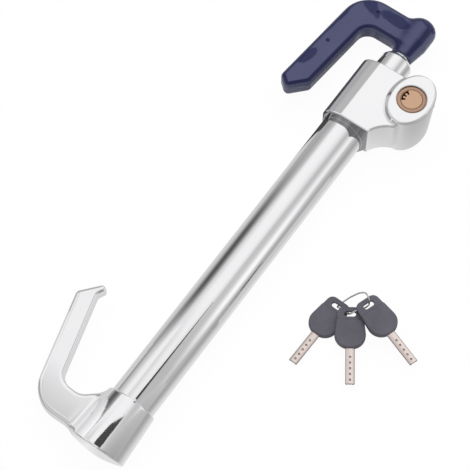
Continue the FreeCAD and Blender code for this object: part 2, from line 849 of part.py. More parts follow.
def locator_marks():
    arm_x = hub_x + cross_arm_inner - locator_back
    bend_x = hub_x + cross_arm_inner + locator_bend_share * cross_arm_width
    arm_y = hook_arm_line(arm_x) - locator_share * hook_arm_width
    places = [(arm_x, arm_y), (bend_x, hook_arm_reach - locator_drop)]
    depth = hook_coat
    return [Part.makeCylinder(locator_radius, depth, Vec(x, y, hook_thickness / 2 - depth)) for x, y in places]


def make_hook_coating():
    return make_hook_form(0).cut([make_hook_form(hook_coat), rod_socket()] + locator_marks())


def hook_pin_solid():
    reach = hub_small_radius - hook_coat + 1
    x = hub_x + rod_in_hub - 2 * hook_pin_radius
    return rod_between(Vec(x, 0, -reach), Vec(x, 0, reach), hook_pin_radius)


# ---- keys ----

def key_level(index):
    """Underside of a key, counted from the lowest."""
    return floor_z + index * (key_head_thickness + key_level_gap)


def key_head_outline():
    """Head in its own frame: slot centre at the origin, blade towards +X."""
    start = -key_slot_offset
    end = key_head_length - key_slot_offset
    ring_half = key_head_ring_width / 2
    wide = key_head_width / 2
    return [
        (start, -ring_half, 4),
        (end * 0.98, -wide - 0.6, 8.5),
        (end, 0, 14),
        (end * 0.98, wide + 0.6, 8.5),
        (start, ring_half, 4),
    ]


def make_key_head():
    half = key_head_thickness / 2
    head = bevelled_plate(key_head_outline(), key_head_thickness, key_head_bevel)
    web_half = key_web_thickness / 2
    web_end = key_web_length - key_slot_offset
    wide = key_head_width
    over = box_between((-2 * key_slot_offset, -wide, web_half), (web_end, wide, half + 1))
    under = box_between((-2 * key_slot_offset, -wide, -half - 1), (web_end, wide, -web_half))
    long, wide_half = key_slot_length / 2, key_slot_width / 2
    slot_round = wide_half - 0.05
    slot = plate([(-wide_half, -long, slot_round), (wide_half, -long, slot_round),
                  (wide_half, long, slot_round), (-wide_half, long, slot_round)], -half - 1, half + 1)
    return head.cut([over, under, slot])


def make_key_blade():
    """Curved blade with three ribs, made upright on the key axis and then laid along +X."""
    bottom, top = 0, key_blade_length + key_blade_in_head
    blade = curved_slot(keyway_radius, key_blade_thickness, key_blade_half_angle, bottom, top)
    inner = keyway_radius - key_blade_thickness / 2
    ribs = [Part.makeCylinder(key_rib_radius, top - bottom, polar(inner, 90 + turn, bottom))
            for turn in (-keyway_rib_angle, 0, keyway_rib_angle)]
    blade = blade.fuse(ribs).removeSplitter()
    sagitta = (keyway_radius + key_blade_thickness / 2) * (1 - math.cos(math.radians(key_blade_half_angle)))
    blade.translate(Vec(-key_x, -key_y - keyway_radius + sagitta / 2, 0))
    blade.rotate(Vec(0, 0, 0), Z_AXIS, 90)
    blade.rotate(Vec(0, 0, 0), Y_AXIS, 90)
    blade.translate(Vec(key_head_length - key_slot_offset - key_blade_in_head, 0, 0))
    return blade


def key_slot(index):
    """Middle of a key's slot at the middle of the head's thickness."""
    share_x, share_y, _ = key_places[index]
    return Vec(key_slot_x + share_x * key_head_length, key_slot_y + share_y * key_head_length,
               key_level(index) + key_head_thickness / 2)


def place_key(shape, index):
    placed = shape.copy()
    placed.rotate(Vec(0, 0, 0), Z_AXIS, key_places[index][2])
    placed.translate(key_slot(index))
    return placed


def key_ring_route():
    """Corners of the wire loop that threads the three slots, lies under the lowest key and comes over all."""
    low, middle, high = [key_slot(index) for index in range(3)]
    half = key_head_thickness / 2
    under = floor_z + ring_wire_radius + sliding_gap / 2
    above = high.z + half + ring_rise
    first_gap = (low.z + middle.z) / 2
    second_gap = (middle.z + high.z) / 2
    return [
        Vec(high.x, high.y, above),
        Vec(high.x, high.y, second_gap),
        Vec(middle.x, middle.y, second_gap),
        Vec(middle.x, middle.y, first_gap),
        Vec(low.x, low.y, first_gap),
        Vec(low.x, low.y, under),
        Vec(low.x + ring_reach, low.y, under),
        Vec(low.x + ring_reach + ring_shift_x, low.y + ring_shift_y, above),
    ]


def make_key_ring():
    """Round wire whose straight runs meet in mitred corners."""
    corners = key_ring_route()
    count = len(corners)
    runs = []
    for i in range(count):
        start, end = corners[i], corners[(i + 1) % count]
        along = (end - start).normalize()
        before = (start - corners[i - 1]).normalize()
        after = (corners[(i + 2) % count] - end).normalize()
        spare = along * (4 * ring_wire_radius)
        run = rod_between(start - spare, end + spare, ring_wire_radius)
        run = run.common(half_space(start, before + along))
        runs.append(run.common(half_space(end, -along - after)))
    return runs[0].fuse(runs[1:])


def turn_from_z(facing):
    rotation = FreeCAD.Rotation(Z_AXIS, facing)
    return rotation.Axis, math.degrees(rotation.Angle)


def half_space(corner, facing):
    """Large box whose one face passes through the corner and which lies on the side it faces."""
    size = 4 * key_head_length
    box = Part.makeBox(size, size, size, Vec(-size / 2, -size / 2, 0))
    box.rotate(Vec(0, 0, 0), *turn_from_z(facing))
    box.translate(corner)
    return box


# ---- the whole set ----

def make_pieces():
    pieces = {
        "outer_tube": make_outer_tube().cut(tube_pin_holes()),
        "pedal_hook": make_pedal_hook().cut(tube_pin_holes()),
        "tube_buffer": make_tube_buffer(),
        "tube_pins": make_tube_pins(),
        "lock_housing": make_lock_housing(),
        "bottom_plug": make_bottom_plug(),
        "cylinder_barrel": make_cylinder_barrel(),
        "cylinder_pin": make_cylinder_pin(),
        "cylinder_plug": make_cylinder_plug(),
        "plug_clip": make_plug_clip(),
        "tumbler_pins": make_tumbler_pins(),
        "lock_bolt": make_lock_bolt(),
        "bolt_spring": make_bolt_spring(),
        "guide_bush": make_guide_bush(),
        "inner_rod": make_inner_rod(),
        "rod_stop": make_rod_stop(),
        "stop_clip": make_stop_clip(),
        "hook_core": make_hook_core(),
        "hook_coating": make_hook_coating(),
        "hook_pin": hook_pin_solid(),
        "key_ring": make_key_ring(),
    }
    blade, head = make_key_blade(), make_key_head()
    head = head.cut(blade)
    for index in range(len(key_places)):
        pieces["key_head_%d" % (index + 1)] = place_key(head, index)
        pieces["key_blade_%d" % (index + 1)] = place_key(blade, index)
    return pieces


def main():
    os.makedirs("parts", exist_ok=True)
    pieces = make_pieces()
    footprint = Part.makeCompound(list(pieces.values())).optimalBoundingBox(False, False)
    seat = Vec(-footprint.Center.x, -footprint.Center.y, -floor_z)
    for name, shape in pieces.items():
        shape.translate(seat)
        shape.exportStep("parts/%s.step" % name)
    print("seat", seat, "size", footprint.XLength, footprint.YLength, footprint.ZLength, footprint.ZMin)


main()
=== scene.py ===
import math

import bpy
import numpy as np
from mathutils import Matrix, Vector


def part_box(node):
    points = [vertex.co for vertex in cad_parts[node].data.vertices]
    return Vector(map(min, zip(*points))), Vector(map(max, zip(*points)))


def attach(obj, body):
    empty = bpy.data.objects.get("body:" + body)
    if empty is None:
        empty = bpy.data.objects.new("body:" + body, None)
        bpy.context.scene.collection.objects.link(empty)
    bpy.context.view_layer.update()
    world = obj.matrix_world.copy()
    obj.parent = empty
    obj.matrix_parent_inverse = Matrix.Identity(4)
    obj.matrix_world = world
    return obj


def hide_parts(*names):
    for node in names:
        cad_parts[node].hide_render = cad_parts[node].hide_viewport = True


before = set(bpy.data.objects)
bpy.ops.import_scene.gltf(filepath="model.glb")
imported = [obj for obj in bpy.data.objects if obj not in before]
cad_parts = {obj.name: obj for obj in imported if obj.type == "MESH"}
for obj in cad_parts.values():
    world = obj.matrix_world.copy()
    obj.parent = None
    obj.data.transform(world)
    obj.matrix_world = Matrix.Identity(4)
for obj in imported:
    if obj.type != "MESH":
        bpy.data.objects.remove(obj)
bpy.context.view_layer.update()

mm = 0.001

# The lock's own frame, in millimetres: tube axis along X, foot end at x = 0, hooks towards +Y, key from +Z.
# These places are shared by several pieces.
lock = dict(tubeStart=8.0, tubeEnd=272.5, headEnd=297.5, keyAxis=(285.5, -27.0), cylinderFoot=3.0, rest=-17.8)

tubeLow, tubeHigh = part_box("outer_tube")
lockZero = np.array([tubeLow.x * 1000 - lock["tubeStart"], (tubeLow.y + tubeHigh.y) * 500,
                     (tubeLow.z + tubeHigh.z) * 500])


def toRow(points):
    return (np.asarray(points, float) + lockZero) * mm


def addObject(name, data):
    thing = bpy.data.objects.new(name, data)
    bpy.context.collection.objects.link(thing)
    return thing


def emptyTree(owner):
    owner.use_nodes = True
    owner.node_tree.nodes.clear()
    return owner.node_tree


view = dict(
    azimuth=-54.566,        # degrees round the lock, 0 looks along +Y
    elevation=64.676,
    roll=-0.106,
    distance=1210.33,       # millimetres
    target=(158.164, 13.737, 0.0),
    lens=155.02,
)


def makeCamera():
    azimuth, elevation, roll = [math.radians(view[k]) for k in ("azimuth", "elevation", "roll")]
    level = math.cos(elevation)
    back = Vector((math.sin(azimuth) * level, -math.cos(azimuth) * level, math.sin(elevation)))
    right = Vector((math.cos(azimuth), math.sin(azimuth), 0))
    up = back.cross(right)
    turnedRight = right * math.cos(roll) + up * math.sin(roll)
    turnedUp = up * math.cos(roll) - right * math.sin(roll)
    data = bpy.data.cameras.new("camera")
    data.lens = view["lens"]
    data.sensor_width = 36
    data.clip_start, data.clip_end = 0.05, 20
    camera = addObject("camera", data)
    turn = Matrix((turnedRight, turnedUp, back)).transposed().to_4x4()
    place = Vector(toRow(view["target"])) + back * view["distance"] * mm
    camera.matrix_world = Matrix.Translation(place) @ turn
    bpy.context.scene.camera = camera
    bpy.context.scene.view_settings.view_transform = "Standard"


def linear(hexColour):
    # colour written as an sRGB hex string, as the linear values that shaders take
    parts = [int(hexColour[i:i + 2], 16) / 255 for i in (1, 3, 5)]
    return [p / 12.92 if p <= 0.04045 else ((p + 0.055) / 1.055) ** 2.4 for p in parts] + [1.0]


def addNode(tree, kind, inputs=None, links=None, **settings):
    # a node of that kind with its settings and input values, fed by sockets or by nodes' first outputs
    node = tree.nodes.new(kind)
    for name, value in settings.items():
        setattr(node, name, value)
    for name, value in (inputs or {}).items():
        node.inputs[name].default_value = value
    for name, source in (links or {}).items():
        tree.links.new(getattr(source, "outputs", [source])[0], node.inputs[name])
    return node


def setRamp(node, stops):
    ramp = node.color_ramp
    while len(ramp.elements) < len(stops):
        ramp.elements.new(0.5)
    for element, (place, grey) in zip(ramp.elements, stops):
        element.position = place
        element.color = linear("#" + 3 * ("%02x" % grey))


studio = dict(
    # Grey of the room by direction round the tube: degrees from +Y over the top, then sRGB grey.
    # The three strips are the room as metal near the foot, in the middle and near the head sees it.
    footRoom=[(-90, 204), (-50, 205), (-40, 199), (-30, 208), (-20, 206), (-10, 165), (-4, 147),
              (4, 158), (11, 187), (20, 200), (30, 218), (40, 237), (48, 240), (56, 230), (66, 216),
              (78, 229), (89, 240), (100, 234), (107, 214), (114, 180), (122, 187), (145, 186),
              (160, 202), (168, 195), (180, 168), (190, 158), (200, 175), (211, 208), (218, 210),
              (270, 204)],
    middleRoom=[(-90, 222), (-55, 236), (-35, 217), (-15, 207), (-8, 192), (0, 147), (6, 104), (12, 84),
                (19, 84), (27, 112), (33, 142), (40, 184), (46, 210), (56, 226), (67, 242), (95, 244),
                (105, 237), (111, 226), (117, 204), (123, 194), (138, 202), (147, 226), (155, 249),
                (161, 255), (167, 248), (174, 220), (181, 187), (188, 163), (195, 170), (205, 202),
                (215, 221), (270, 222)],
    headRoom=[(-90, 204), (-55, 212), (-35, 197), (-20, 189), (-6, 186), (5, 174), (14, 166), (24, 170),
              (36, 184), (44, 196), (50, 222), (56, 238), (66, 246), (92, 243), (105, 233), (117, 211),
              (126, 188), (133, 192), (143, 216), (151, 234), (157, 245), (163, 230), (171, 202),
              (180, 177), (188, 163), (195, 172), (202, 197), (212, 208), (225, 197), (270, 204)],
    # share of +X in the direction at which each strip ends and the next one starts
    stripShares=[(0.275, 0.325), (0.35, 0.40)],
    # the side beyond the foot is dark: from the first share of +X down to the second
    darkSide=(0.04, -0.16), darkGrey=0.75,
    roomLight=1.05,
    backdrop="#ffffff",
    # half size of the floor and how far it lies under the lock, in metres
    floorHalf=3.0, floorDrop=0.0002, floorColour="#fafafa", floorGlow=0.95,
)


def roundShare(tree, split):
    # angle of a direction round the tube as a share of the full turn, from -90 to 270 degrees
    turn = addNode(tree, "ShaderNodeMath", operation="ARCTAN2",
                   links={0: split.outputs["Z"], 1: split.outputs["Y"]})
    shift = addNode(tree, "ShaderNodeMath", operation="ADD", inputs={1: math.pi / 2}, links={0: turn})
    wrap = addNode(tree, "ShaderNodeMath", operation="WRAP", inputs={1: 2 * math.pi, 2: 0.0},
                   links={0: shift})
    return addNode(tree, "ShaderNodeMath", operation="DIVIDE", inputs={1: 2 * math.pi}, links={0: wrap})


def strip(tree, share, stops):
    # grey of one strip of the room
    ramp = addNode(tree, "ShaderNodeValToRGB", links={0: share})
    setRamp(ramp, [((angle + 90) / 360, grey) for angle, grey in stops])
    return ramp


def spread(tree, value, low, high, atLow=0.0, atHigh=1.0):
    # the value between low and high, taken to a share between the two ends
    return addNode(tree, "ShaderNodeMapRange", interpolation_type="SMOOTHSTEP", links={"Value": value},
                   inputs={"From Min": low, "From Max": high, "To Min": atLow, "To Max": atHigh})


def makeWorld():
    world = bpy.data.worlds.new("studio")
    bpy.context.scene.world = world
    tree = emptyTree(world)
    place = addNode(tree, "ShaderNodeTexCoord")
    split = addNode(tree, "ShaderNodeSeparateXYZ", links={0: place.outputs["Generated"]})
    share = roundShare(tree, split)
    grey = strip(tree, share, studio["footRoom"])
    for name, (low, high) in zip(("middleRoom", "headRoom"), studio["stripShares"]):
        grey = addNode(tree, "ShaderNodeMix", data_type="RGBA",
                       links={0: spread(tree, split.outputs["X"], low, high), 6: grey,
                              7: strip(tree, share, studio[name])}).outputs[2]
    bright, dark = studio["darkSide"]
    light = spread(tree, split.outputs["X"], dark, bright, studio["darkGrey"] * studio["roomLight"],
                   studio["roomLight"])
    room = addNode(tree, "ShaderNodeBackground", links={"Color": grey, "Strength": light})
    plain = addNode(tree, "ShaderNodeBackground",
                    inputs={"Color": linear(studio["backdrop"]), "Strength": 1.0})
    path = addNode(tree, "ShaderNodeLightPath")
    mix = addNode(tree, "ShaderNodeMixShader", links={0: path.outputs["Is Camera Ray"], 1: room, 2: plain})
    addNode(tree, "ShaderNodeOutputWorld", links={"Surface": mix})


def makeFloor():
    half = studio["floorHalf"]
    data = bpy.data.meshes.new("floor")
    corners = [(x * half, y * half, 0) for x, y in ((-1, -1), (1, -1), (1, 1), (-1, 1))]
    data.from_pydata(corners, [], [(0, 1, 2, 3)])
    floor = addObject("floor", data)
    floor.location.z = -studio["floorDrop"]
    material = bpy.data.materials.new("white studio floor")
    tree = emptyTree(material)
    path = addNode(tree, "ShaderNodeLightPath")
    matt = addNode(tree, "ShaderNodeBsdfDiffuse", inputs={"Color": linear(studio["floorColour"])})
    # to the camera it is nearly white paper, and it keeps the lock's faint shadow
    paper = addNode(tree, "ShaderNodeEmission", inputs={"Color": linear(studio["backdrop"]), "Strength": 1.0})
    seen = addNode(tree, "ShaderNodeMath", operation="MULTIPLY", inputs={1: studio["floorGlow"]},
                   links={0: path.outputs["Is Camera Ray"]})
    toCamera = addNode(tree, "ShaderNodeMixShader", links={0: seen, 1: matt, 2: paper})
    # polished metal sees it as the lower part of the same room
    place = addNode(tree, "ShaderNodeTexCoord")
    fromTube = addNode(tree, "ShaderNodeVectorMath", operation="SUBTRACT",
                       inputs={1: tuple(lockZero * mm)}, links={0: place.outputs["Object"]})
    split = addNode(tree, "ShaderNodeSeparateXYZ", links={0: fromTube})
    room = addNode(tree, "ShaderNodeEmission", inputs={"Strength": studio["roomLight"]},
                   links={"Color": strip(tree, roundShare(tree, split), studio["middleRoom"])})
    mix = addNode(tree, "ShaderNodeMixShader",
                  links={0: path.outputs["Is Glossy Ray"], 1: toCamera, 2: room})
    addNode(tree, "ShaderNodeOutputMaterial", links={"Surface": mix})
    data.materials.append(material)


def makeLamp(name, place, size, power):
    data = bpy.data.lights.new(name, "AREA")
    data.shape = "RECTANGLE"
    data.size, data.size_y = size
    data.energy = power
    data.specular_factor = 0.0
    lamp = addObject(name, data)
    lamp.location = place
    lamp.rotation_euler = (-Vector(place)).to_track_quat("-Z", "Y").to_euler()
    lamp.visible_glossy = False


cards = dict(
    # dark wedges over the foot, which draw the black streaks on the cap and on the start of the tube
    streaks=dict(shapes=[[(24, 8, 100), (34, 11, 100), (47, 3, 100), (59, -38, 100), (24, -38, 100)],
                         [(42, -7.4, 34), (118, -13.1, 34), (118, -13.9, 34), (42, -12.8, 34)]],
                 low="#444444", high="#444444"),
    # pale board on the hooks' side of the foot
    paleBoard=dict(shapes=[[(10, 120, -17), (65, 120, -17), (65, 120, 100), (10, 120, 100)]],
                   low="#cfcfcf", high="#ffffff"),
    # grey board on its other side
    greyBoard=dict(shapes=[[(10, -140, 0), (92, -140, 0), (92, -140, 220), (10, -140, 220)]],
                   low="#8a8a8a", high="#c2c2c2", along="X"),
    # white panel over the pedal hook
    hookPanel=dict(shapes=[[(58, 50, 100), (120, 50, 100), (120, 100, 100), (58, 100, 100)]],
                   low="#f0f0f0", high="#f0f0f0"),
    # and its darker side over the bend
    bendPanel=dict(shapes=[[(26, 50, 100), (58, 50, 100), (58, 112, 100), (26, 112, 100)]],
                   low="#c8c8c8", high="#f0f0f0", along="X"),
    # low screen between the tube and the keys
    keyScreen=dict(shapes=[[(116, -45, -17.6), (236, -45, -17.6), (236, -45, -2), (116, -45, -2)]],
                   low="#d6d6d6", high="#aeaeae"),
    # dark screen between the lock head and the wheel hook
    headScreen=dict(shapes=[[(224, 24, -17.6), (318, 24, -17.6), (318, 24, 10), (252, 24, 10)]],
                    low="#3c3c3c", high="#4a4a4a"),
)


def makeCard(name, shapes, low, high, along="Z"):
    # a board that only polished metal sees, graded from its foot to its top or along the lock
    points, faces = [], []
    for shape in shapes:
        faces.append(range(len(points), len(points) + len(shape)))
        points += shape
    data = bpy.data.meshes.new(name)
    data.from_pydata([tuple(p) for p in toRow(points)], [], [tuple(face) for face in faces])
    material = bpy.data.materials.new(name)
    tree = emptyTree(material)
    place = addNode(tree, "ShaderNodeTexCoord")
    split = addNode(tree, "ShaderNodeSeparateXYZ", links={0: place.outputs["Object"]})
    axis = "XYZ".index(along)
    first, last = [(end(p[axis] for p in points) + lockZero[axis]) * mm for end in (min, max)]
    share = addNode(tree, "ShaderNodeMapRange", inputs={"From Min": first, "From Max": last + mm},
                    links={"Value": split.outputs[along]})
    tint = addNode(tree, "ShaderNodeMix", data_type="RGBA", inputs={6: linear(low), 7: linear(high)},
                   links={0: share}).outputs[2]
    glow = addNode(tree, "ShaderNodeEmission", inputs={"Strength": studio["roomLight"]},
                   links={"Color": tint})
    addNode(tree, "ShaderNodeOutputMaterial", links={"Surface": glow})
    data.materials.append(material)
    card = addObject(name, data)
    card.visible_camera = card.visible_diffuse = card.visible_shadow = False
    card.visible_transmission = card.visible_volume_scatter = False


makeCamera()
makeWorld()
makeFloor()
makeLamp("top light", (0.1, 0.1, 1.4), (1.2, 1.2), 9)
for cardName, card in cards.items():
    makeCard(cardName, **card)
print("camera, floor and light are ready")


def roundedOutline(corners, steps=10):
    # points of a closed outline through (u, v, radius) corners
    points = []
    for i, (u, v, radius) in enumerate(corners):
        here = np.array([u, v], float)
        back = np.array(corners[i - 1][:2], float) - here
        ahead = np.array(corners[(i + 1) % len(corners)][:2], float) - here
        back /= np.linalg.norm(back)
        ahead /= np.linalg.norm(ahead)
        if radius <= 0:
            points.append(here)
            continue
        half = math.acos(np.clip(back @ ahead, -1, 1)) / 2
        bisector = (back + ahead) / np.linalg.norm(back + ahead)
        centre = here + bisector * radius / math.sin(half)
        first = here + back * radius / math.tan(half) - centre
        last = here + ahead * radius / math.tan(half) - centre
        start = math.atan2(first[1], first[0])
        sweep = (math.atan2(last[1], last[0]) - start + math.pi) % (2 * math.pi) - math.pi
        for k in range(steps + 1):
            angle = start + sweep * k / steps
            points.append(centre + radius * np.array([math.cos(angle), math.sin(angle)]))
    return np.array(points)


def outlineDistance(u, v, outline):
    # signed distance in the plane, negative inside the closed outline
    u, v = np.broadcast_arrays(u, v)
    nearest = np.full(u.shape, 1e9)
    inside = np.zeros(u.shape, bool)
    for (u0, v0), (u1, v1) in zip(outline, np.roll(outline, -1, axis=0)):
        du, dv = u1 - u0, v1 - v0
        length = du * du + dv * dv
        if length < 1e-12:
            continue
        along = np.clip(((u - u0) * du + (v - v0) * dv) / length, 0, 1)
        nearest = np.minimum(nearest, (u - u0 - along * du) ** 2 + (v - v0 - along * dv) ** 2)
        if v0 != v1:
            inside ^= ((v0 > v) != (v1 > v)) & (u < du * (v - v0) / dv + u0)
    return np.where(inside, -1, 1) * np.sqrt(nearest)


def softBox(a, b, edge):
    # where both distances are negative, with the edge between them rounded
    a, b = a + edge, b + edge
    return np.minimum(np.maximum(a, b), 0) + np.hypot(np.maximum(a, 0), np.maximum(b, 0)) - edge


def slab(v, low, high):
    # signed distance to the layer between low and high
    return np.abs(v - (low + high) / 2) - (high - low) / 2


def join(a, b, soft):
    h = np.maximum(soft - np.abs(a - b), 0) / soft
    return np.minimum(a, b) - h * h * soft / 4


def cut(a, b, soft):
    # a without b, with the edge between them softened
    return -join(-a, b, soft)


def turnedDistance(x, y, z, profile):
    # body of revolution about the X axis from (x, radius) points that start and end on the axis
    outline = np.array(list(profile) + [(px, -pr) for px, pr in reversed(profile)])
    return outlineDistance(x, np.hypot(y, z), outline)


def fieldMesh(field, low, high, step):
    # vertices and faces of the closed surface where the field is zero
    axes = [np.arange(a, b + step, step) for a, b in zip(low, high)]
    x, y, z = np.meshgrid(*axes, indexing="ij", sparse=True)
    values = np.broadcast_to(field(x, y, z), [len(a) for a in axes]).astype(np.float32)
    inside = values < 0
    cells = [n - 1 for n in values.shape]
    total = np.zeros(cells + [3], np.float32)
    count = np.zeros(cells, np.int8)
    quads = []
    for axis in range(3):
        others = [k for k in range(3) if k != axis]
        head, tail = [slice(None)] * 3, [slice(None)] * 3
        head[axis], tail[axis] = slice(1, None), slice(None, -1)
        a, b = values[tuple(tail)], values[tuple(head)]
        crossing = inside[tuple(tail)] != inside[tuple(head)]
        share = np.where(crossing, a / np.where(crossing, a - b, 1), 0)
        for i in (0, 1):
            for j in (0, 1):
                part = [slice(None)] * 3
                part[others[0]] = slice(i, cells[others[0]] + i)
                part[others[1]] = slice(j, cells[others[1]] + j)
                hit = crossing[tuple(part)]
                count += hit
                total[..., axis] += np.where(hit, share[tuple(part)], 0)
                total[..., others[0]] += hit * i
                total[..., others[1]] += hit * j
    used = count > 0
    index = np.full(cells, -1, np.int64)
    index[used] = np.arange(used.sum())
    where = np.argwhere(used)
    points = np.array(low) + step * (where + total[used] / count[used][:, None])
    for axis in range(3):
        others = [(axis + 1) % 3, (axis + 2) % 3]
        head, tail = [slice(1, -1)] * 3, [slice(1, -1)] * 3
        head[axis], tail[axis] = slice(1, None), slice(None, -1)
        first, second = inside[tuple(tail)], inside[tuple(head)]
        for flip in (False, True):
            edges = np.argwhere((second & ~first) if flip else (first & ~second))
            if not len(edges):
                continue
            corner = edges.copy()
            for k in others:
                corner[:, k] += 1
            ring = []
            for i, j in ((0, 0), (1, 0), (1, 1), (0, 1)):
                cell = corner.copy()
                cell[:, others[0]] -= i
                cell[:, others[1]] -= j
                ring.append(index[cell[:, 0], cell[:, 1], cell[:, 2]])
            ring = np.stack(ring, 1)
            quads.append(ring[:, ::-1] if flip else ring)
    faces = np.concatenate(quads)
    # each point is moved onto the true surface
    nudge = 0.05 * step
    for _ in range(3):
        here = field(*points.T)
        slope = np.stack([field(*(points + nudge * np.eye(3)[k]).T) - here for k in range(3)], 1) / nudge
        size = np.maximum((slope ** 2).sum(1), 0.2)
        move = -(here / size)[:, None] * slope
        reach = np.linalg.norm(move, axis=1, keepdims=True)
        points = points + move * np.minimum(1, 0.5 * step / np.maximum(reach, 1e-9))
    return points, faces


def addPiece(name, data, body, replaced, sharp):
    # a finished mesh as a piece on that body, which hides the solids that it stands for
    if sharp:
        data.set_sharp_from_angle(angle=math.radians(sharp))
    piece = addObject(name, data)
    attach(piece, body)
    if replaced:
        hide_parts(*replaced)


def newPiece(name, points, faces, material, body, slot, replaced=(), sharp=None):
    # a piece in the row's frame from points in millimetres in the lock's frame
    data = bpy.data.meshes.new(name)
    data.from_pydata([tuple(p) for p in toRow(points)], [], [tuple(int(i) for i in f) for f in faces])
    data.materials.append(material)
    data.shade_smooth()
    addPiece(name, data, body, replaced, sharp)


def carvedPiece(name, field, low, high, step, *rest):
    # a piece whose surface is where the field is zero, looked for between two corners
    points, faces = fieldMesh(field, low, high, step)
    newPiece(name, points, faces, *rest)
    print(name, "has", len(faces), "faces")


def turnedMesh(profile, centre=(0, 0), upright=False, segments=192):
    # closed lathe mesh from (along, radius) points, about the tube axis or an upright axis
    points, faces = [], []
    for along, radius in profile:
        for k in range(segments):
            angle = 2 * math.pi * k / segments
            a, b = radius * math.cos(angle), radius * math.sin(angle)
            points.append((centre[0] + a, centre[1] + b, along) if upright else (along, a, b))
    for i in range(len(profile)):
        here, ahead = i * segments, (i + 1) % len(profile) * segments
        for k in range(segments):
            following = (k + 1) % segments
            faces.append((here + k, here + following, ahead + following, ahead + k))
    return np.array(points), np.array(faces)


def newTree(name, inputs):
    # an empty tree with named inputs and one geometry output
    tree = bpy.data.node_groups.new(name, "GeometryNodeTree")
    for title, kind in inputs.items():
        tree.interface.new_socket(title, in_out="INPUT", socket_type=kind)
    tree.interface.new_socket("Geometry", in_out="OUTPUT", socket_type="NodeSocketGeometry")
    return tree, tree.nodes.new("NodeGroupInput").outputs


def endTree(tree, geometry, given):
    # smooth, moved into the row's frame, realized and given its material
    smooth = addNode(tree, "GeometryNodeSetShadeSmooth", links={"Geometry": geometry})
    place = addNode(tree, "GeometryNodeTransform", inputs={"Translation": tuple(lockZero * mm)},
                    links={"Geometry": smooth})
    real = addNode(tree, "GeometryNodeRealizeInstances", links={"Geometry": place})
    coated = addNode(tree, "GeometryNodeSetMaterial",
                     links={"Geometry": real, "Material": given["Material"]})
    addNode(tree, "NodeGroupOutput", links={"Geometry": coated})


def bakeTree(name, tree, values, body, slot, replaced=(), sharp=None):
    # runs the tree with these values and keeps the result as a plain mesh
    holder = addObject(name + "Holder", bpy.data.meshes.new(name + "Holder"))
    modifier = holder.modifiers.new(name, "NODES")
    modifier.node_group = tree
    for item in tree.interface.items_tree:
        if item.in_out == "INPUT":
            modifier[item.identifier] = values[item.name]
    evaluated = holder.evaluated_get(bpy.context.evaluated_depsgraph_get())
    data = bpy.data.meshes.new_from_object(evaluated)
    data.name = name
    bpy.data.objects.remove(holder)
    addPiece(name, data, body, replaced, sharp)


def finish(name, colour, darker, rough, rougher, scale, depth, metallic=1.0, stretch=(1, 1, 1), ripple=0.0,
           strength=1.0, broadScale=45.0, shine=0.5):
    # colour and roughness drift a little, with fine grain and a faint ripple
    material = bpy.data.materials.new(name)
    tree = emptyTree(material)
    place = addNode(tree, "ShaderNodeTexCoord").outputs["Object"]
    along = addNode(tree, "ShaderNodeMapping", inputs={"Scale": stretch}, links={"Vector": place})
    broad = addNode(tree, "ShaderNodeTexNoise", inputs={"Scale": broadScale, "Detail": 3.0},
                    links={"Vector": place}).outputs["Fac"]
    fine = addNode(tree, "ShaderNodeTexNoise", inputs={"Scale": scale, "Detail": 4.0},
                   links={"Vector": along}).outputs["Fac"]
    tint = addNode(tree, "ShaderNodeMix", data_type="RGBA", inputs={6: linear(darker), 7: linear(colour)},
                   links={0: broad}).outputs[2]
    gloss = addNode(tree, "ShaderNodeMapRange", links={"Value": fine},
                    inputs={"From Min": 0.3, "From Max": 0.7, "To Min": rough, "To Max": rougher})
    scratch = addNode(tree, "ShaderNodeMath", operation="MULTIPLY", inputs={1: depth}, links={0: fine})
    height = addNode(tree, "ShaderNodeMath", operation="MULTIPLY_ADD", inputs={1: ripple},
                     links={0: broad, 2: scratch})
    relief = addNode(tree, "ShaderNodeBump", inputs={"Strength": strength, "Distance": 0.05 * mm},
                     links={"Height": height})
    surface = addNode(tree, "ShaderNodeBsdfPrincipled",
                      inputs={"Metallic": metallic, "Specular IOR Level": shine},
                      links={"Base Color": tint, "Roughness": gloss, "Normal": relief})
    addNode(tree, "ShaderNodeOutputMaterial", links={"Surface": surface})
    return material


def baseColour(material):
    # the tree, the socket of its base colour and what feeds it now
    socket = next(n for n in material.node_tree.nodes if n.type == "BSDF_PRINCIPLED").inputs["Base Color"]
    return material.node_tree, socket, socket.links[0].from_socket


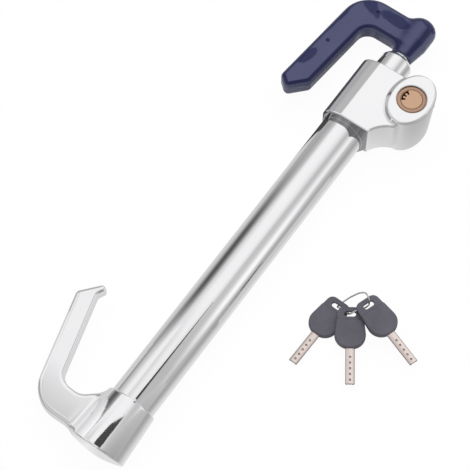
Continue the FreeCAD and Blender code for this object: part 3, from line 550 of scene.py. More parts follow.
def paintSideShade(material, side, edge, sideNormal, edgeNormal, patch="#000000", patches=(), height=0.0,
                depth=1.0, border=(1.0, 1.0), uneven=0.0, grain=1.0):
    # painted shade: darker where a face leans away from upright, on bevels and sides, and darker in a few
    # patches
    tree, socket, tint = baseColour(material)
    place = addNode(tree, "ShaderNodeTexCoord")
    facing = addNode(tree, "ShaderNodeSeparateXYZ", links={0: place.outputs["Normal"]})
    upright = addNode(tree, "ShaderNodeMath", operation="ABSOLUTE", links={0: facing.outputs["Z"]})
    below = addNode(tree, "ShaderNodeMix", data_type="RGBA", inputs={6: linear(side), 7: linear(edge)},
                    links={0: spread(tree, upright, *sideNormal)}).outputs[2]
    tint = addNode(tree, "ShaderNodeMix", data_type="RGBA",
                   links={0: spread(tree, upright, *edgeNormal), 6: below, 7: tint}).outputs[2]
    drift = addNode(tree, "ShaderNodeTexNoise", inputs={"Scale": grain, "Detail": 2.0},
                    links={"Vector": place.outputs["Object"]}).outputs["Fac"]
    for centre, turn, (halfLength, halfWidth) in patches:
        spot = addNode(tree, "ShaderNodeMapping", vector_type="TEXTURE",
                       inputs={"Location": tuple(toRow((*centre, height))),
                               "Rotation": (0, 0, math.radians(turn)),
                               "Scale": (halfLength * mm, halfWidth * mm, depth * mm)},
                       links={"Vector": place.outputs["Object"]})
        reach = addNode(tree, "ShaderNodeVectorMath", operation="LENGTH", links={0: spot}).outputs["Value"]
        wavy = addNode(tree, "ShaderNodeMath", operation="MULTIPLY_ADD", inputs={1: uneven},
                       links={0: drift, 2: reach})
        tint = addNode(tree, "ShaderNodeMix", data_type="RGBA", inputs={7: linear(patch)},
                       links={0: spread(tree, wavy, *border), 6: tint}).outputs[2]
    tree.links.new(tint, socket)


def paintEndShade(material, colour, place, fade, lean):
    # painted shade: the end face towards -X, up to that place, is darkened in its base colour, standing in
    # for the shade and dark reflections around the tube's mouth
    tree, socket, tint = baseColour(material)
    coordinates = addNode(tree, "ShaderNodeTexCoord")
    facing = addNode(tree, "ShaderNodeSeparateXYZ", links={0: coordinates.outputs["Normal"]})
    where = addNode(tree, "ShaderNodeSeparateXYZ", links={0: coordinates.outputs["Object"]})
    turned = spread(tree, facing.outputs["X"], *lean)
    near = spread(tree, where.outputs["X"], *[(x + lockZero[0]) * mm for x in (place + fade, place)])
    share = addNode(tree, "ShaderNodeMath", operation="MULTIPLY", links={0: turned, 1: near})
    tint = addNode(tree, "ShaderNodeMix", data_type="RGBA", inputs={7: linear(colour)},
                   links={0: share, 6: tint}).outputs[2]
    tree.links.new(tint, socket)


finishes = dict(
    # polished chrome plate on the drawn tube, its faint grain runs along the tube
    tube=dict(name="polished chrome tube", colour="#f9f9fa", darker="#f4f4f6", rough=0.035, rougher=0.07,
              ripple=0.02, scale=900.0, stretch=(0.06, 1, 1), depth=0.06),
    # polished chrome plate on castings, slightly wavy
    casting=dict(name="polished chrome casting", colour="#fafafb", darker="#f4f4f6", rough=0.05, rougher=0.10,
                 ripple=0.25, scale=700.0, depth=0.08),
    # the same plate on the lock head, which gets painted shade on its end face further down
    head=dict(name="polished chrome lock head", colour="#fafafb", darker="#f4f4f6", rough=0.05, rougher=0.10,
              ripple=0.25, scale=700.0, depth=0.08),
    # plated bar of the inner rod
    rod=dict(name="plated steel bar", colour="#ededee", darker="#e3e4e6", rough=0.08, rougher=0.15,
             ripple=0.05, scale=1100.0, stretch=(1, 0.2, 0.2), depth=0.15),
    # copper-tinted satin brass of the key cylinder
    brass=dict(name="copper tinted brass", colour="#dcb99c", darker="#cfa688", rough=0.24, rougher=0.36,
               ripple=0.1, scale=2600.0, depth=0.5),
    # the same brass with painted shade: less bright, on the ring-shaped face of the barrel
    ringBrassShaded=dict(name="copper tinted brass ring", colour="#c6a48e", darker="#ab8b78", rough=0.2,
                   rougher=0.34, ripple=0.1, scale=2600.0, depth=0.5),
    # ground hardened steel
    steel=dict(name="ground steel", colour="#a9aaad", darker="#97989c", rough=0.25, rougher=0.4,
               ripple=0.05, scale=1500.0, stretch=(0.1, 1, 1), depth=0.5),
    # spring steel, darker and oiled
    spring=dict(name="spring steel", colour="#8b8c90", darker="#77787d", rough=0.2, rougher=0.35,
                ripple=0.05, scale=2000.0, depth=0.3),
    # nickel silver of the key blades with a faint pink tint
    nickel=dict(name="nickel silver", colour="#f7eae5", darker="#e8d8d2", rough=0.22, rougher=0.34,
                ripple=0.1, scale=2400.0, depth=0.4),
    # bright plated wire of the key ring
    wire=dict(name="bright plated wire", colour="#e4e5e6", darker="#d5d6d8", rough=0.12, rougher=0.2,
              ripple=0.02, scale=1600.0, depth=0.1),
)

moulded = dict(
    # glossy navy coat of the wheel hook, slightly orange-peeled
    coat=dict(name="navy dipped coat", colour="#4c4f70", darker="#444767", rough=0.25, rougher=0.31,
              shine=0.3, scale=420.0, strength=0.25),
    # dark grey spark-textured plastic of the key heads
    keyPlastic=dict(name="dark grey key plastic", colour="#686470", darker="#45454c", rough=0.5, rougher=0.62,
                    scale=3800.0, strength=1.0),
    # black rubber of the tube's buffer
    rubber=dict(name="black rubber", colour="#1d1d1d", darker="#151515", rough=0.7, rougher=0.85,
                scale=1500.0, strength=0.6),
    # natural nylon of the rod's stop
    nylon=dict(name="natural nylon", colour="#ddd8cb", darker="#d2ccbd", rough=0.45, rougher=0.55,
               scale=1200.0, strength=0.4),
)

coatShadeAndPatches = dict(
    # painted shade: the coat's bevels and sides are darker than its top
    side="#585b76", sideNormal=(0.55, 0.75),
    edge="#1d2048", edgeNormal=(0.86, 0.985),
    # dark patches on the upper face: colour, height, depth, border, unevenness and the grain that makes it
    patch="#222650", height=7.0, depth=6.0, border=(1.45, 1.15), uneven=0.7, grain=140.0,
    # centre in the lock's frame, turn in degrees and half sizes of each patch
    patches=[((282.4, 46.2), -14, (8.0, 3.2)), ((335.0, 15.4), 88, (11.0, 4.2)),
             ((318.0, 47.4), -6, (18.0, 3.6)), ((337.5, 37.5), 58, (13.0, 4.4)),
             ((345.0, -4.0), 90, (8.0, 5.0))],
)

# painted shade: where the blade's faces lean away from upright they are darker
bladeSideShade = dict(side="#b3a29d", sideNormal=(0.5, 0.8), edge="#8d7f7b", edgeNormal=(0.90, 0.955))

made = {key: finish(**values) for key, values in finishes.items()}
made.update({key: finish(metallic=0.0, depth=1.0, broadScale=60.0, **values)
             for key, values in moulded.items()})
# painted shade on the lock head's end face towards the tube
paintEndShade(made["head"], colour="#9a9a9c", place=253.0, fade=0.4, lean=(-0.6, -0.9))
# painted shade on the coat's bevels and sides, and its dark patches
paintSideShade(made["coat"], **coatShadeAndPatches)
# painted shade on the key blades' leaning faces
paintSideShade(made["nickel"], **bladeSideShade)

nodeFinishes = dict(
    outer_tube="tube", pedal_hook="casting", lock_housing="casting", tube_buffer="rubber", tube_pins="steel",
    bottom_plug="casting", cylinder_barrel="ringBrassShaded", cylinder_pin="steel", cylinder_plug="brass",
    plug_clip="spring", tumbler_pins="brass", lock_bolt="steel", bolt_spring="spring", guide_bush="casting",
    inner_rod="rod", rod_stop="nylon", stop_clip="spring", hook_core="steel", hook_coating="coat",
    hook_pin="steel", key_ring="wire", key_head_1="keyPlastic", key_head_2="keyPlastic",
    key_head_3="keyPlastic", key_blade_1="nickel", key_blade_2="nickel", key_blade_3="nickel",
)
for nodeName, key in nodeFinishes.items():
    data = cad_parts[nodeName].data
    data.materials.clear()
    data.materials.append(made[key])
print("materials are ready")


tubeShape = dict(outer=14.0, wall=2.5, edge=0.3)


def makeTube():
    s = tubeShape
    e, start, end, outer = s["edge"], lock["tubeStart"], lock["tubeEnd"], s["outer"]
    inner = outer - s["wall"]
    profile = [(start, inner + e), (start + e, inner), (end - e, inner), (end, inner + e),
               (end, outer - e), (end - e, outer), (start + e, outer), (start, outer - e)]
    newPiece("tube", *turnedMesh(profile), made["tube"], "lock_body", "tube_chrome", ["outer_tube"], sharp=30)


makeTube()
print("tube is ready")


capShape = dict(
    length=36.5, dome=3.3, endRadius=17.8, rimRadius=15.6, edge=1.0, rimEdge=0.4, bore=14.05, boreEdge=0.4,
    # the end stands ahead of its place on the axis, and both ends lean: share of the height
    lead=1.0, endLean=0.22, rimLean=0.12,
)

pedalHook = dict(
    # the arm starts inside the cap, at that height over the axis
    thickness=9.0, edge=2.7, blend=4.0, root=7.0,
    # outline corners: along the tube, height above the axis, corner radius
    outline=[(2.4, 0, 0), (2.4, 17.2, 3), (3.7, 23.8, 12), (3.7, 48.9, 21.5), (73.6, 68.1, 3.5),
             (86.0, 57.4, 2.1), (84.0, 53.2, 2.0), (78.5, 56.1, 4), (23.6, 41.0, 9), (22.8, 27.3, 10),
             (33.9, 14.1, 2), (33.9, 0, 0)],
)


def capField(x, y, z):
    s = capShape
    length, dome, edge, rimEdge = s["length"] + s["lead"], s["dome"], s["edge"], s["rimEdge"]
    slope = (s["rimRadius"] - s["endRadius"]) / (length - dome)
    side = s["endRadius"] + slope * edge
    ballEdge = s["endRadius"] - edge
    steps = 6
    shares = [k / steps for k in range(1, steps + 1)]
    profile = [(0.0, 0.0)] + [(dome * share ** 2, ballEdge * share) for share in shares]
    for share in shares:
        turn = math.pi / 2 * share
        profile.append((dome + edge * (1 - math.cos(turn)), ballEdge + (side - ballEdge) * math.sin(turn)))
    profile += [(length - rimEdge, s["rimRadius"]), (length, s["rimRadius"] - rimEdge), (length, 0.0)]
    lean = s["endLean"] + (s["rimLean"] - s["endLean"]) * x / s["length"]
    return turnedDistance(x + s["lead"] + lean * z, y, z, profile)


pedalOutline = roundedOutline(pedalHook["outline"])


def pedalField(x, y, z):
    s = pedalHook
    arm = softBox(outlineDistance(x, y, pedalOutline), np.abs(z) - s["thickness"] / 2, s["edge"])
    arm = np.maximum(arm, s["root"] - y)
    body = join(capField(x, y, z), arm, s["blend"])
    bore = np.maximum(np.hypot(y, z) - capShape["bore"], lock["tubeStart"] - x)
    return cut(body, bore, capShape["boreEdge"])


carvedPiece("footCapAndPedalHook", pedalField, (-6.5, -19.5, -19.5), (88.5, 70.0, 19.5), 0.62,
            made["casting"], "lock_body", "cast_chrome", ["pedal_hook"])
print("foot cap and pedal hook are ready")


headShape = dict(
    start=252.5, edge=1.0,
    # section of the block: height towards the hooks, height up, corner radius
    section=[(-17.5, 20, 0.9), (2.8, 20, 1.0), (15.2, 15.49, 11.6), (15.2, -17.8, 14), (-9.0, -17.8, 6),
             (-17.5, -3.0, 3)],
    bossHalfLength=18.8, bossHalfWidth=13.6, bossTop=22.5, bossBottom=-16.2, bossDraft=1.9, bossEdge=1.8,
    bossBlend=2.2,
    # neck between block and boss: round of its hollow side, underside, edge, both ends of its plan
    neckRound=20.0, neckBottom=-7.8, neckEdge=1.4, neckInset=0.6, neckSide=-17.2, neckRoot=-15.0,
    neckEnd=(2.2, 1.5), neckDepth=4.0,
    # bores with the softness of their edges
    tubeBore=14.05, tubeBoreEdge=0.15, bushBore=9.0, bushBoreEdge=0.4,
    barrelBore=9.95, barrelLip=9.35, lipDepth=1.2, barrelBoreEdge=0.3,
)

headSection = roundedOutline(headShape["section"])


def bossField(x, y, z):
    s = headShape
    share = np.clip((s["bossTop"] - z) / (s["bossTop"] - s["bossBottom"]), 0, 1)
    a, b = s["bossHalfLength"] - s["bossDraft"] * share, s["bossHalfWidth"] - s["bossDraft"] * share
    dx, dy = x - lock["keyAxis"][0], y - lock["keyAxis"][1]
    k = np.sqrt((dx / a) ** 2 + (dy / b) ** 2) + 1e-9
    side = k * (k - 1) / np.sqrt((dx / a ** 2) ** 2 + (dy / b ** 2) ** 2 + 1e-9)
    return softBox(side, slab(z, s["bossBottom"], s["bossTop"]), s["bossEdge"])


def neckOutline():
    s = headShape
    bx, by = lock["keyAxis"]
    side = s["start"] + s["neckInset"]
    start = np.array([side, s["neckSide"]])
    end = np.array([bx - s["bossHalfLength"] - s["neckEnd"][0], by - s["neckEnd"][1]])
    chord = end - start
    normal = np.array([-chord[1], chord[0]]) / np.linalg.norm(chord)
    half = np.linalg.norm(chord) / 2
    centre = (start + end) / 2 - normal * math.sqrt(s["neckRound"] ** 2 - half ** 2)
    first = math.atan2(*(start - centre)[::-1])
    sweep = (math.atan2(*(end - centre)[::-1]) - first + math.pi) % (2 * math.pi) - math.pi
    steps = 12
    turns = [first + sweep * k / steps for k in range(steps + 1)]
    arc = [centre + s["neckRound"] * np.array([math.cos(turn), math.sin(turn)]) for turn in turns]
    return np.array(arc + [(bx, by - s["neckDepth"]), (bx, s["neckRoot"]), (side, s["neckRoot"])])


neckPlan = neckOutline()


def headField(x, y, z):
    s = headShape
    block = softBox(outlineDistance(y, z, headSection), slab(x, s["start"], lock["headEnd"]), s["edge"])
    neck = softBox(outlineDistance(x, y, neckPlan), slab(z, s["neckBottom"], s["section"][0][1]),
                   s["neckEdge"])
    body = join(np.minimum(block, neck), bossField(x, y, z), s["bossBlend"])
    radius = np.hypot(y, z)
    body = cut(body, np.maximum(radius - s["tubeBore"], x - lock["tubeEnd"]), s["tubeBoreEdge"])
    body = cut(body, radius - s["bushBore"], s["bushBoreEdge"])
    fromKey = np.hypot(x - lock["keyAxis"][0], y - lock["keyAxis"][1])
    above = lock["cylinderFoot"] - z
    narrow = np.maximum(fromKey - s["barrelLip"], above)
    wide = np.maximum(fromKey - s["barrelBore"], np.maximum(above, z - s["bossTop"] + s["lipDepth"]))
    return cut(body, np.minimum(narrow, wide), s["barrelBoreEdge"])


carvedPiece("lockHead", headField, (251.0, -43.5, -19.5), (305.5, 17.5, 24.5), 0.5,
            made["head"], "lock_body", "cast_chrome", ["lock_housing"])
print("lock head is ready")


wheelHook = dict(
    # the coat's section and how far it swells beyond the outline
    thickness=14.0, edge=1.6, chamfer=2.6, chamferEdge=1.0, blend=3.2, swell=1.0,
    hub=317.6, hubEnd=348.2, hubSmall=7.2, hubLarge=9.7, hubCone=12.9, hubRound=8.0,
    armReach=52.1, armSlope=5.6, armWidth=15.9,
    # tip: how far behind the hub, lengths of its outer and inner slant, height of its point, rounds
    tipBack=60.1, tipOuter=5.5, tipInner=10.5, tipShare=0.44, tipRound=3, pointRound=2.4,
    crossInner=5.4, crossWidth=18.8, bendOuter=18.5, bendInner=9.0,
    socket=6.0, socketEnd=332.5, softEdge=0.4,
    marks=[(298.4, 42.4), (333.5, 27.9)], markRadius=1.0, markDepth=1.6, markEdge=0.5,
)


def wheelHookOutline():
    s = wheelHook
    inner, tip = s["hub"] + s["crossInner"], s["hub"] - s["tipBack"]
    outer, corner, far = inner + s["crossWidth"], tip + s["tipOuter"], tip + s["tipInner"]
    slope = math.tan(math.radians(s["armSlope"]))
    drop = s["armWidth"] / math.cos(math.radians(s["armSlope"]))
    # height of the arm's outer edge at those places
    atOuter, atCorner, atTip, atFar, atInner = [s["armReach"] - slope * (x - corner)
                                                for x in (outer, corner, tip, far, inner)]
    return roundedOutline([
        (inner, 0, 0), (outer, 0, 0), (outer, atOuter, s["bendOuter"]), (corner, atCorner, s["tipRound"]),
        (tip, atTip - s["tipShare"] * s["armWidth"], s["pointRound"]), (far, atFar - drop, s["tipRound"]),
        (inner, atInner - drop, s["bendInner"])])


hookOutline = wheelHookOutline()


def hubField(x, y, z):
    s = wheelHook
    profile = [(s["hub"], 0.0), (s["hub"], s["hubSmall"]), (s["hub"] + s["hubCone"], s["hubLarge"])]
    start, ball, steps = s["hubEnd"] - s["hubRound"], s["hubRound"], 8
    for k in range(steps + 1):
        turn = math.pi / 2 * k / steps
        profile.append((start + ball * math.sin(turn), s["hubLarge"] - ball * (1 - math.cos(turn))))
    profile.append((s["hubEnd"], 0.0))
    return turnedDistance(x, y, z, profile)


def hookField(x, y, z):
    s = wheelHook
    half = s["thickness"] / 2
    plan = outlineDistance(x, y, hookOutline) - s["swell"]
    arm = softBox(plan, np.abs(z) - half, s["edge"])
    slant = (plan + np.abs(z) - half + s["chamfer"]) / math.sqrt(2)
    arm = cut(arm, -slant, s["chamferEdge"])
    body = join(arm, hubField(x, y, z), s["blend"])
    body = cut(body, np.maximum(np.hypot(y, z) - s["socket"], x - s["socketEnd"]), s["softEdge"])
    for mx, my in s["marks"]:
        mark = np.maximum(np.hypot(x - mx, y - my) - s["markRadius"], half - s["markDepth"] - z)
        body = cut(body, mark, s["markEdge"])
    return body


carvedPiece("wheelHookCoat", hookField, (252.5, -11.5, -11.5), (351.5, 55.5, 11.5), 0.55,
            made["coat"], "wheel_hook", "blue_coating", ["hook_coating", "hook_core"])
print("wheel hook is ready")

bush = dict(
    end=315.0, seatRadius=9.0, collarRadius=10.5, bore=6.05,
    chamferLength=2.5, chamferDepth=1.7, chamferRound=0.8, edge=0.4,
    # opening for the bolt's nose: its height and half sizes
    windowHeight=-2.4, windowHalves=(1.7, 3.2), windowEdge=0.1,
)


def bushOutline():
    s = bush
    e, start, end, collar = s["edge"], lock["tubeEnd"], s["end"], s["collarRadius"]
    return roundedOutline([
        (start, s["bore"], e), (end, s["bore"], e), (end, collar - s["chamferDepth"], e),
        (end - s["chamferLength"], collar, s["chamferRound"]), (lock["headEnd"], collar, 0),
        (lock["headEnd"], s["seatRadius"], 0), (start, s["seatRadius"], e)], steps=4)


bushProfile = bushOutline()


def bushField(x, y, z):
    s = bush
    body = outlineDistance(x, np.hypot(y, z), bushProfile)
    halfX, halfZ = s["windowHalves"]
    window = np.maximum(np.abs(x - lock["keyAxis"][0]) - halfX, np.abs(z - s["windowHeight"]) - halfZ)
    return cut(body, np.maximum(window, y), s["windowEdge"])


carvedPiece("guideBush", bushField, (271.5, -11.3, -11.3), (316.0, 11.3, 11.3), 0.36,
            made["casting"], "lock_body", "bush_chrome", ["guide_bush"])

rod = dict(
    start=28.1, end=332.5, radius=6.0,
    # grooves for the bolt, the last of them at the key axis, and the rings of points along the bar
    grooveDepth=1.5, grooveWidth=4.2, shoulder=0.4, pitch=22.5, grooveCount=11, rings=1400,
    flangeLength=4.7, flangeRadius=8.5, flangeEdge=0.8,
    # the flange's piece reaches a little into the bar
    clipGroove=45.4, clipWidth=1.6, overlap=0.2,
)


def groovedBarTree():
    # round bar along X whose radius dips at every groove
    lengths = ["Start", "End", "Radius", "Groove Depth", "Groove Half Width", "Shoulder", "Pitch",
               "Last Groove", "First Groove"]
    sockets = dict.fromkeys(lengths, "NodeSocketFloat")
    sockets.update({"Rings": "NodeSocketInt", "Material": "NodeSocketMaterial"})
    tree, given = newTree("grooved bar", sockets)
    start = addNode(tree, "ShaderNodeCombineXYZ", links={"X": given["Start"]})
    end = addNode(tree, "ShaderNodeCombineXYZ", links={"X": given["End"]})
    line = addNode(tree, "GeometryNodeCurvePrimitiveLine", links={"Start": start, "End": end})
    rings = addNode(tree, "GeometryNodeResampleCurve", links={"Curve": line, "Count": given["Rings"]})
    place = addNode(tree, "GeometryNodeInputPosition")
    along = addNode(tree, "ShaderNodeSeparateXYZ", links={0: place}).outputs["X"]
    fromLast = addNode(tree, "ShaderNodeMath", operation="SUBTRACT",
                       links={0: along, 1: given["Last Groove"]})
    halfPitch = addNode(tree, "ShaderNodeMath", operation="MULTIPLY", inputs={1: 0.5},
                        links={0: given["Pitch"]})
    toNearest = addNode(tree, "ShaderNodeMath", operation="PINGPONG", links={0: fromLast, 1: halfPitch})
    outer = addNode(tree, "ShaderNodeMath", operation="ADD",
                    links={0: given["Groove Half Width"], 1: given["Shoulder"]})
    rise = addNode(tree, "ShaderNodeMapRange",
                   links={"Value": toNearest, "From Min": given["Groove Half Width"], "From Max": outer})
    firstEdge = addNode(tree, "ShaderNodeMath", operation="SUBTRACT",
                        links={0: given["First Groove"], 1: halfPitch})
    before = addNode(tree, "ShaderNodeMath", operation="LESS_THAN", links={0: along, 1: firstEdge})
    whole = addNode(tree, "ShaderNodeMath", operation="MAXIMUM", links={0: rise, 1: before})
    dip = addNode(tree, "ShaderNodeMath", operation="SUBTRACT", inputs={0: 1.0}, links={1: whole})
    depth = addNode(tree, "ShaderNodeMath", operation="MULTIPLY", links={0: dip, 1: given["Groove Depth"]})
    radius = addNode(tree, "ShaderNodeMath", operation="SUBTRACT", links={0: given["Radius"], 1: depth})
    section = addNode(tree, "GeometryNodeCurvePrimitiveCircle", inputs={"Resolution": 56, "Radius": 1.0})
    bar = addNode(tree, "GeometryNodeCurveToMesh", inputs={"Fill Caps": True},
                  links={"Curve": rings, "Profile Curve": section, "Scale": radius})
    endTree(tree, bar, given)
    return tree


def makeRod():
    s = rod
    clipStart, clipEnd = s["clipGroove"], s["clipGroove"] + s["clipWidth"]
    last = lock["keyAxis"][0]
    lengths = {"Start": clipEnd, "End": s["end"], "Radius": s["radius"], "Groove Depth": s["grooveDepth"],
               "Groove Half Width": s["grooveWidth"] / 2, "Shoulder": s["shoulder"], "Pitch": s["pitch"],
               "Last Groove": last, "First Groove": last - (s["grooveCount"] - 1) * s["pitch"]}
    values = {name: length * mm for name, length in lengths.items()}
    bakeTree("innerRod", groovedBarTree(), {**values, "Rings": s["rings"], "Material": made["rod"]},
             "wheel_hook", "rod_steel", ["inner_rod"], sharp=30)
    foot, flangeEnd, clipEnd = s["start"], s["start"] + s["flangeLength"], clipEnd + s["overlap"]
    edge, flange, radius = s["flangeEdge"], s["flangeRadius"], s["radius"]
    clipBottom = radius - s["grooveDepth"]
    profile = [(foot, 0.0), (foot, flange - edge), (foot + edge, flange), (flangeEnd, flange),
               (flangeEnd, radius), (clipStart, radius), (clipStart, clipBottom), (clipEnd, clipBottom),
               (clipEnd, 0.0)]
    newPiece("rodFlange", *turnedMesh(profile, segments=96), made["rod"], "wheel_hook", "rod_steel", sharp=30)


makeRod()


def pinRowTree():
    # equal round pins in a straight row
    tree, given = newTree("row of pins", {
        "Count": "NodeSocketInt", "First": "NodeSocketVector", "Step": "NodeSocketVector",
        "Turn": "NodeSocketVector", "Radius": "NodeSocketFloat", "Length": "NodeSocketFloat",
        "Material": "NodeSocketMaterial"})
    row = addNode(tree, "GeometryNodeMeshLine", mode="OFFSET",
                  links={"Count": given["Count"], "Start Location": given["First"], "Offset": given["Step"]})
    pin = addNode(tree, "GeometryNodeMeshCylinder", inputs={"Vertices": 40},
                  links={"Radius": given["Radius"], "Depth": given["Length"]})
    turned = addNode(tree, "GeometryNodeInstanceOnPoints",
                     links={"Points": row, "Instance": pin, "Rotation": given["Turn"]})
    endTree(tree, turned, given)
    return tree


# rows of pins: first place, step to the next, turn about X in degrees, radius and length in millimetres
pinRows = dict(
    headFixingPins=dict(count=2, first=(258.5, 0, -14.6), step=(8.0, 0, 0), turn=0, radius=2.0, length=5.8,
                        key="steel", ride=("lock_body", "pin_steel", ["tube_pins"])),
    capFixingPin=dict(count=1, first=(20.0, 0, -13.65), step=(0, 0, 0), turn=0, radius=2.0, length=5.8,
                      key="steel", ride=("lock_body", "pin_steel")),
    tumblers=dict(count=5, first=(lock["keyAxis"][0], -26.0, 18.5), step=(0, 0, -3.2), turn=90, radius=0.8,
                  length=5.0, key="brass", ride=("key_plug", "cylinder_brass", ["tumbler_pins"])),
)


def makePins():
    tree = pinRowTree()
    for name, row in pinRows.items():
        bakeTree(name, tree, {
            "Count": row["count"], "First": tuple(c * mm for c in row["first"]),
            "Step": tuple(c * mm for c in row["step"]), "Turn": (math.radians(row["turn"]), 0, 0),
            "Radius": row["radius"] * mm, "Length": row["length"] * mm, "Material": made[row["key"]]},
            *row["ride"], sharp=30)


makePins()
print("bush, rod and pins are ready")


cylinder = dict(
    top=22.0,
    barrelRadius=9.9, faceRadius=8.8, faceDepth=0.9, barrelBevel=0.25, bore=6.6, boreBevel=0.35,
    plugRadius=6.55, plugEdge=0.22, tailRadius=5.0, tailLength=1.9, overlap=0.5,
    clipSetBack=0.3, clipThickness=0.8, clipDepth=0.9,
    crankPlace=(0.8, -0.8), crankRadius=1.5, crankLength=5.4,
    # keyway
    slot=dict(radius=5.8, width=0.85, halfAngle=38.0, ribAngle=30.0, ribRadius=0.5, ribSink=1.25),
    slotEdge=0.12,
)


def makeBarrel():
    s = cylinder
    bevel, foot, top = s["barrelBevel"], lock["cylinderFoot"], s["top"]
    step = top - s["faceDepth"]
    face, bore = s["faceRadius"], s["bore"]
    profile = [(foot, bore), (foot, s["barrelRadius"]), (step, s["barrelRadius"]), (step, face),
               (top - bevel, face), (top, face - bevel), (top, bore + bevel), (top - s["boreBevel"], bore)]
    points, faces = turnedMesh(profile, lock["keyAxis"], upright=True, segments=144)
    newPiece("cylinderBarrel", points, faces[:, ::-1], made["ringBrassShaded"], "lock_body", "cylinder_brass",
             ["cylinder_barrel"], sharp=25)


def bladeSection(u, v, radius, width, halfAngle, ribAngle, ribRadius, ribSink=0.0, ribBlend=0.15):
    # curved bar about the key axis, bulging towards +v, with three ribs on its hollow side
    beyond = (np.abs(np.arctan2(u, v)) - math.radians(halfAngle)) * radius
    bar = np.maximum(np.abs(np.hypot(u, v) - radius) - width / 2, beyond)
    inner = radius - width / 2
    for turn in (-ribAngle, 0, ribAngle):
        side, up = math.sin(math.radians(turn)), math.cos(math.radians(turn))
        along = np.clip(u * side + v * up, inner - ribSink, inner)
        bar = join(bar, np.hypot(u - along * side, v - along * up) - ribRadius, ribBlend)
    return bar


def plugField(x, y, z):
    s = cylinder
    u, v = x - lock["keyAxis"][0], y - lock["keyAxis"][1]
    radius = np.hypot(u, v)
    foot = lock["cylinderFoot"]
    tailFoot, clipTop = foot - s["tailLength"], foot - s["clipSetBack"]
    body = softBox(radius - s["plugRadius"], slab(z, foot, s["top"]), s["plugEdge"])
    tail = np.maximum(radius - s["tailRadius"], np.maximum(tailFoot - z, z - foot - s["overlap"]))
    groove = np.maximum(s["tailRadius"] - s["clipDepth"] - radius,
                        np.maximum(z - clipTop, clipTop - s["clipThickness"] - z))
    crank = np.hypot(u - s["crankPlace"][0], v - s["crankPlace"][1]) - s["crankRadius"]
    crank = np.maximum(crank, np.maximum(tailFoot - s["crankLength"] - z, z - tailFoot - s["overlap"]))
    body = np.minimum(np.minimum(body, np.maximum(tail, -groove)), crank)
    return cut(body, np.maximum(bladeSection(u, v, **s["slot"]), foot - z), s["slotEdge"])


makeBarrel()
keyX, keyY = lock["keyAxis"]
carvedPiece("cylinderPlug", plugField, (keyX - 7.8, keyY - 7.8, -5.0), (keyX + 7.8, keyY + 7.8, 22.6), 0.24,
            made["brass"], "key_plug", "cylinder_brass", ["cylinder_plug"])
print("lock cylinder is ready")


keyShape = dict(
    # head: sizes, rounding of its corners from the ring's end on, and how far its plan bulges near the blade
    headLength=26.5, headWidth=19.4, ringWidth=14.5, thickness=4.4, edge=1.1,
    rounds=(4.0, 8.5, 14.0), bulge=0.6, bulgeShare=0.98,
    slotOffset=4.6, slotLength=7.0, slotWidth=3.2, slotEdge=0.35,
    webLength=8.6, webThickness=1.8, webCurve=0.12, webEdge=0.7,
    # blade
    bladeLength=22.5, bladeInHead=9.0, bladeEdge=0.2,
    section=dict(radius=6.0, width=1.0, halfAngle=25.5, ribAngle=20.0, ribRadius=0.5),
    dimpleCount=5, dimplePitch=3.6, dimpleFirst=2.6, dimpleRadius=0.75, dimpleDepth=0.45, dimpleEdge=0.1,
    # middle of each key's slot and its turn, the keys lie on each other from the lowest up
    levelGap=0.2, places=[(160.6, -59.2, 178.0), (159.4075, -69.111, -146.3), (168.709, -75.789, -110.0)],
)


def keyHeadOutline():
    s = keyShape
    start, end = -s["slotOffset"], s["headLength"] - s["slotOffset"]
    ringHalf, wide = s["ringWidth"] / 2, s["headWidth"] / 2 + s["bulge"]
    small, middle, large = s["rounds"]
    shoulder = end * s["bulgeShare"]
    return roundedOutline([(start, -ringHalf, small), (shoulder, -wide, middle), (end, 0, large),
                           (shoulder, wide, middle), (start, ringHalf, small)])


keyOutline = keyHeadOutline()


def keyHeadField(x, y, z):
    s = keyShape
    head = softBox(outlineDistance(x, y, keyOutline), np.abs(z) - s["thickness"] / 2, s["edge"])
    webEnd = s["webLength"] - s["slotOffset"] - s["webCurve"] * y * y / s["ringWidth"]
    head = cut(head, np.maximum(x - webEnd, s["webThickness"] / 2 - np.abs(z)), s["webEdge"])
    longHalf, wideHalf = s["slotLength"] / 2, s["slotWidth"] / 2
    slot = np.hypot(x, np.maximum(np.abs(y) - (longHalf - wideHalf), 0)) - wideHalf
    return cut(head, slot, s["slotEdge"])


def bladeField(x, y, z):
    s = keyShape
    section = s["section"]
    start = s["headLength"] - s["slotOffset"] - s["bladeInHead"]
    end = start + s["bladeInHead"] + s["bladeLength"]
    outer = section["radius"] + section["width"] / 2
    lift = section["radius"] - outer * (1 - math.cos(math.radians(section["halfAngle"]))) / 2
    blade = softBox(bladeSection(y, z + lift, **section), slab(x, start, end), s["bladeEdge"])
    dimpleMiddle = outer - lift + s["dimpleRadius"] - s["dimpleDepth"]
    for k in range(s["dimpleCount"]):
        dx = x - (end - s["dimpleFirst"] - k * s["dimplePitch"])
        dimple = np.sqrt(dx * dx + y * y + (z - dimpleMiddle) ** 2) - s["dimpleRadius"]
        blade = cut(blade, dimple, s["dimpleEdge"])
    return blade


def keyPlaced(points, number):
    s = keyShape
    px, py, angle = s["places"][number - 1]
    cosine, sine = math.cos(math.radians(angle)), math.sin(math.radians(angle))
    level = lock["rest"] + (number - 1) * (s["thickness"] + s["levelGap"]) + s["thickness"] / 2
    x, y, z = points.T
    return np.stack([px + x * cosine - y * sine, py + x * sine + y * cosine, level + z], 1)


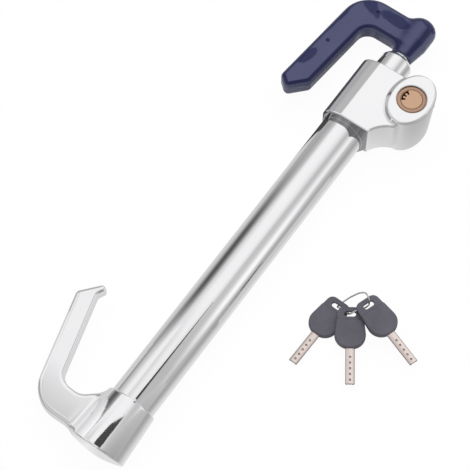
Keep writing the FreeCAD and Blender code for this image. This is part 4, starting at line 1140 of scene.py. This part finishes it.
def makeKeys():
    head = fieldMesh(keyHeadField, (-5.4, -11.4, -2.8), (22.9, 11.4, 2.8), 0.28)
    blade = fieldMesh(bladeField, (12.0, -4.2, -1.6), (45.4, 4.2, 1.6), 0.2)
    for number in range(1, len(keyShape["places"]) + 1):
        body = "key_%d" % number
        newPiece("keyHead%d" % number, keyPlaced(head[0], number), head[1], made["keyPlastic"], body,
                 "key_plastic", ["key_head_%d" % number])
        newPiece("keyBlade%d" % number, keyPlaced(blade[0], number), blade[1], made["nickel"], body,
                 "key_nickel", ["key_blade_%d" % number])
    print("a key head has", len(head[1]), "faces and a blade", len(blade[1]))


makeKeys()

keyRing = dict(
    wire=0.5, rings=420, sides=20,
    # way of the wire: down through the top slot, the middle one and the lowest, out under it and back over
    route=[(168.7, -75.8, -2.5), (168.7, -75.6, -6.5), (166.8, -74.2, -8.7), (162.0, -70.6, -9.2),
           (159.6, -69.0, -10.6), (159.8, -67.0, -13.0), (160.4, -61.5, -13.5), (160.6, -59.4, -15.3),
           (162.6, -59.2, -16.9), (167.3, -60.6, -16.4), (171.2, -64.4, -10.6), (172.3, -68.6, -3.6),
           (171.0, -72.4, 1.2), (169.4, -75.0, 1.0)],
)


def ringTree():
    # round wire along a closed smooth curve
    tree, given = newTree("wire ring", {"Route": "NodeSocketObject", "Wire": "NodeSocketFloat",
                                        "Rings": "NodeSocketInt", "Sides": "NodeSocketInt",
                                        "Material": "NodeSocketMaterial"})
    route = addNode(tree, "GeometryNodeObjectInfo", links={"Object": given["Route"]})
    fine = addNode(tree, "GeometryNodeResampleCurve",
                   links={"Curve": route.outputs["Geometry"], "Count": given["Rings"]})
    section = addNode(tree, "GeometryNodeCurvePrimitiveCircle",
                      links={"Resolution": given["Sides"], "Radius": given["Wire"]})
    wire = addNode(tree, "GeometryNodeCurveToMesh", links={"Curve": fine, "Profile Curve": section})
    endTree(tree, wire, given)
    return tree


def makeRing():
    s = keyRing
    data = bpy.data.curves.new("ringRoute", "CURVE")
    data.dimensions = "3D"
    spline = data.splines.new("BEZIER")
    spline.bezier_points.add(len(s["route"]) - 1)
    for point, place in zip(spline.bezier_points, s["route"]):
        point.co = [c * mm for c in place]
        point.handle_left_type = point.handle_right_type = "AUTO"
    spline.use_cyclic_u = True
    spline.resolution_u = 24
    route = addObject("ringRoute", data)
    bakeTree("keyRing", ringTree(), {
        "Route": route, "Wire": s["wire"] * mm, "Rings": s["rings"], "Sides": s["sides"],
        "Material": made["wire"]}, "keys_on_ring", "ring_wire", ["key_ring"])
    bpy.data.objects.remove(route)


makeRing()
print("keys and ring are ready")
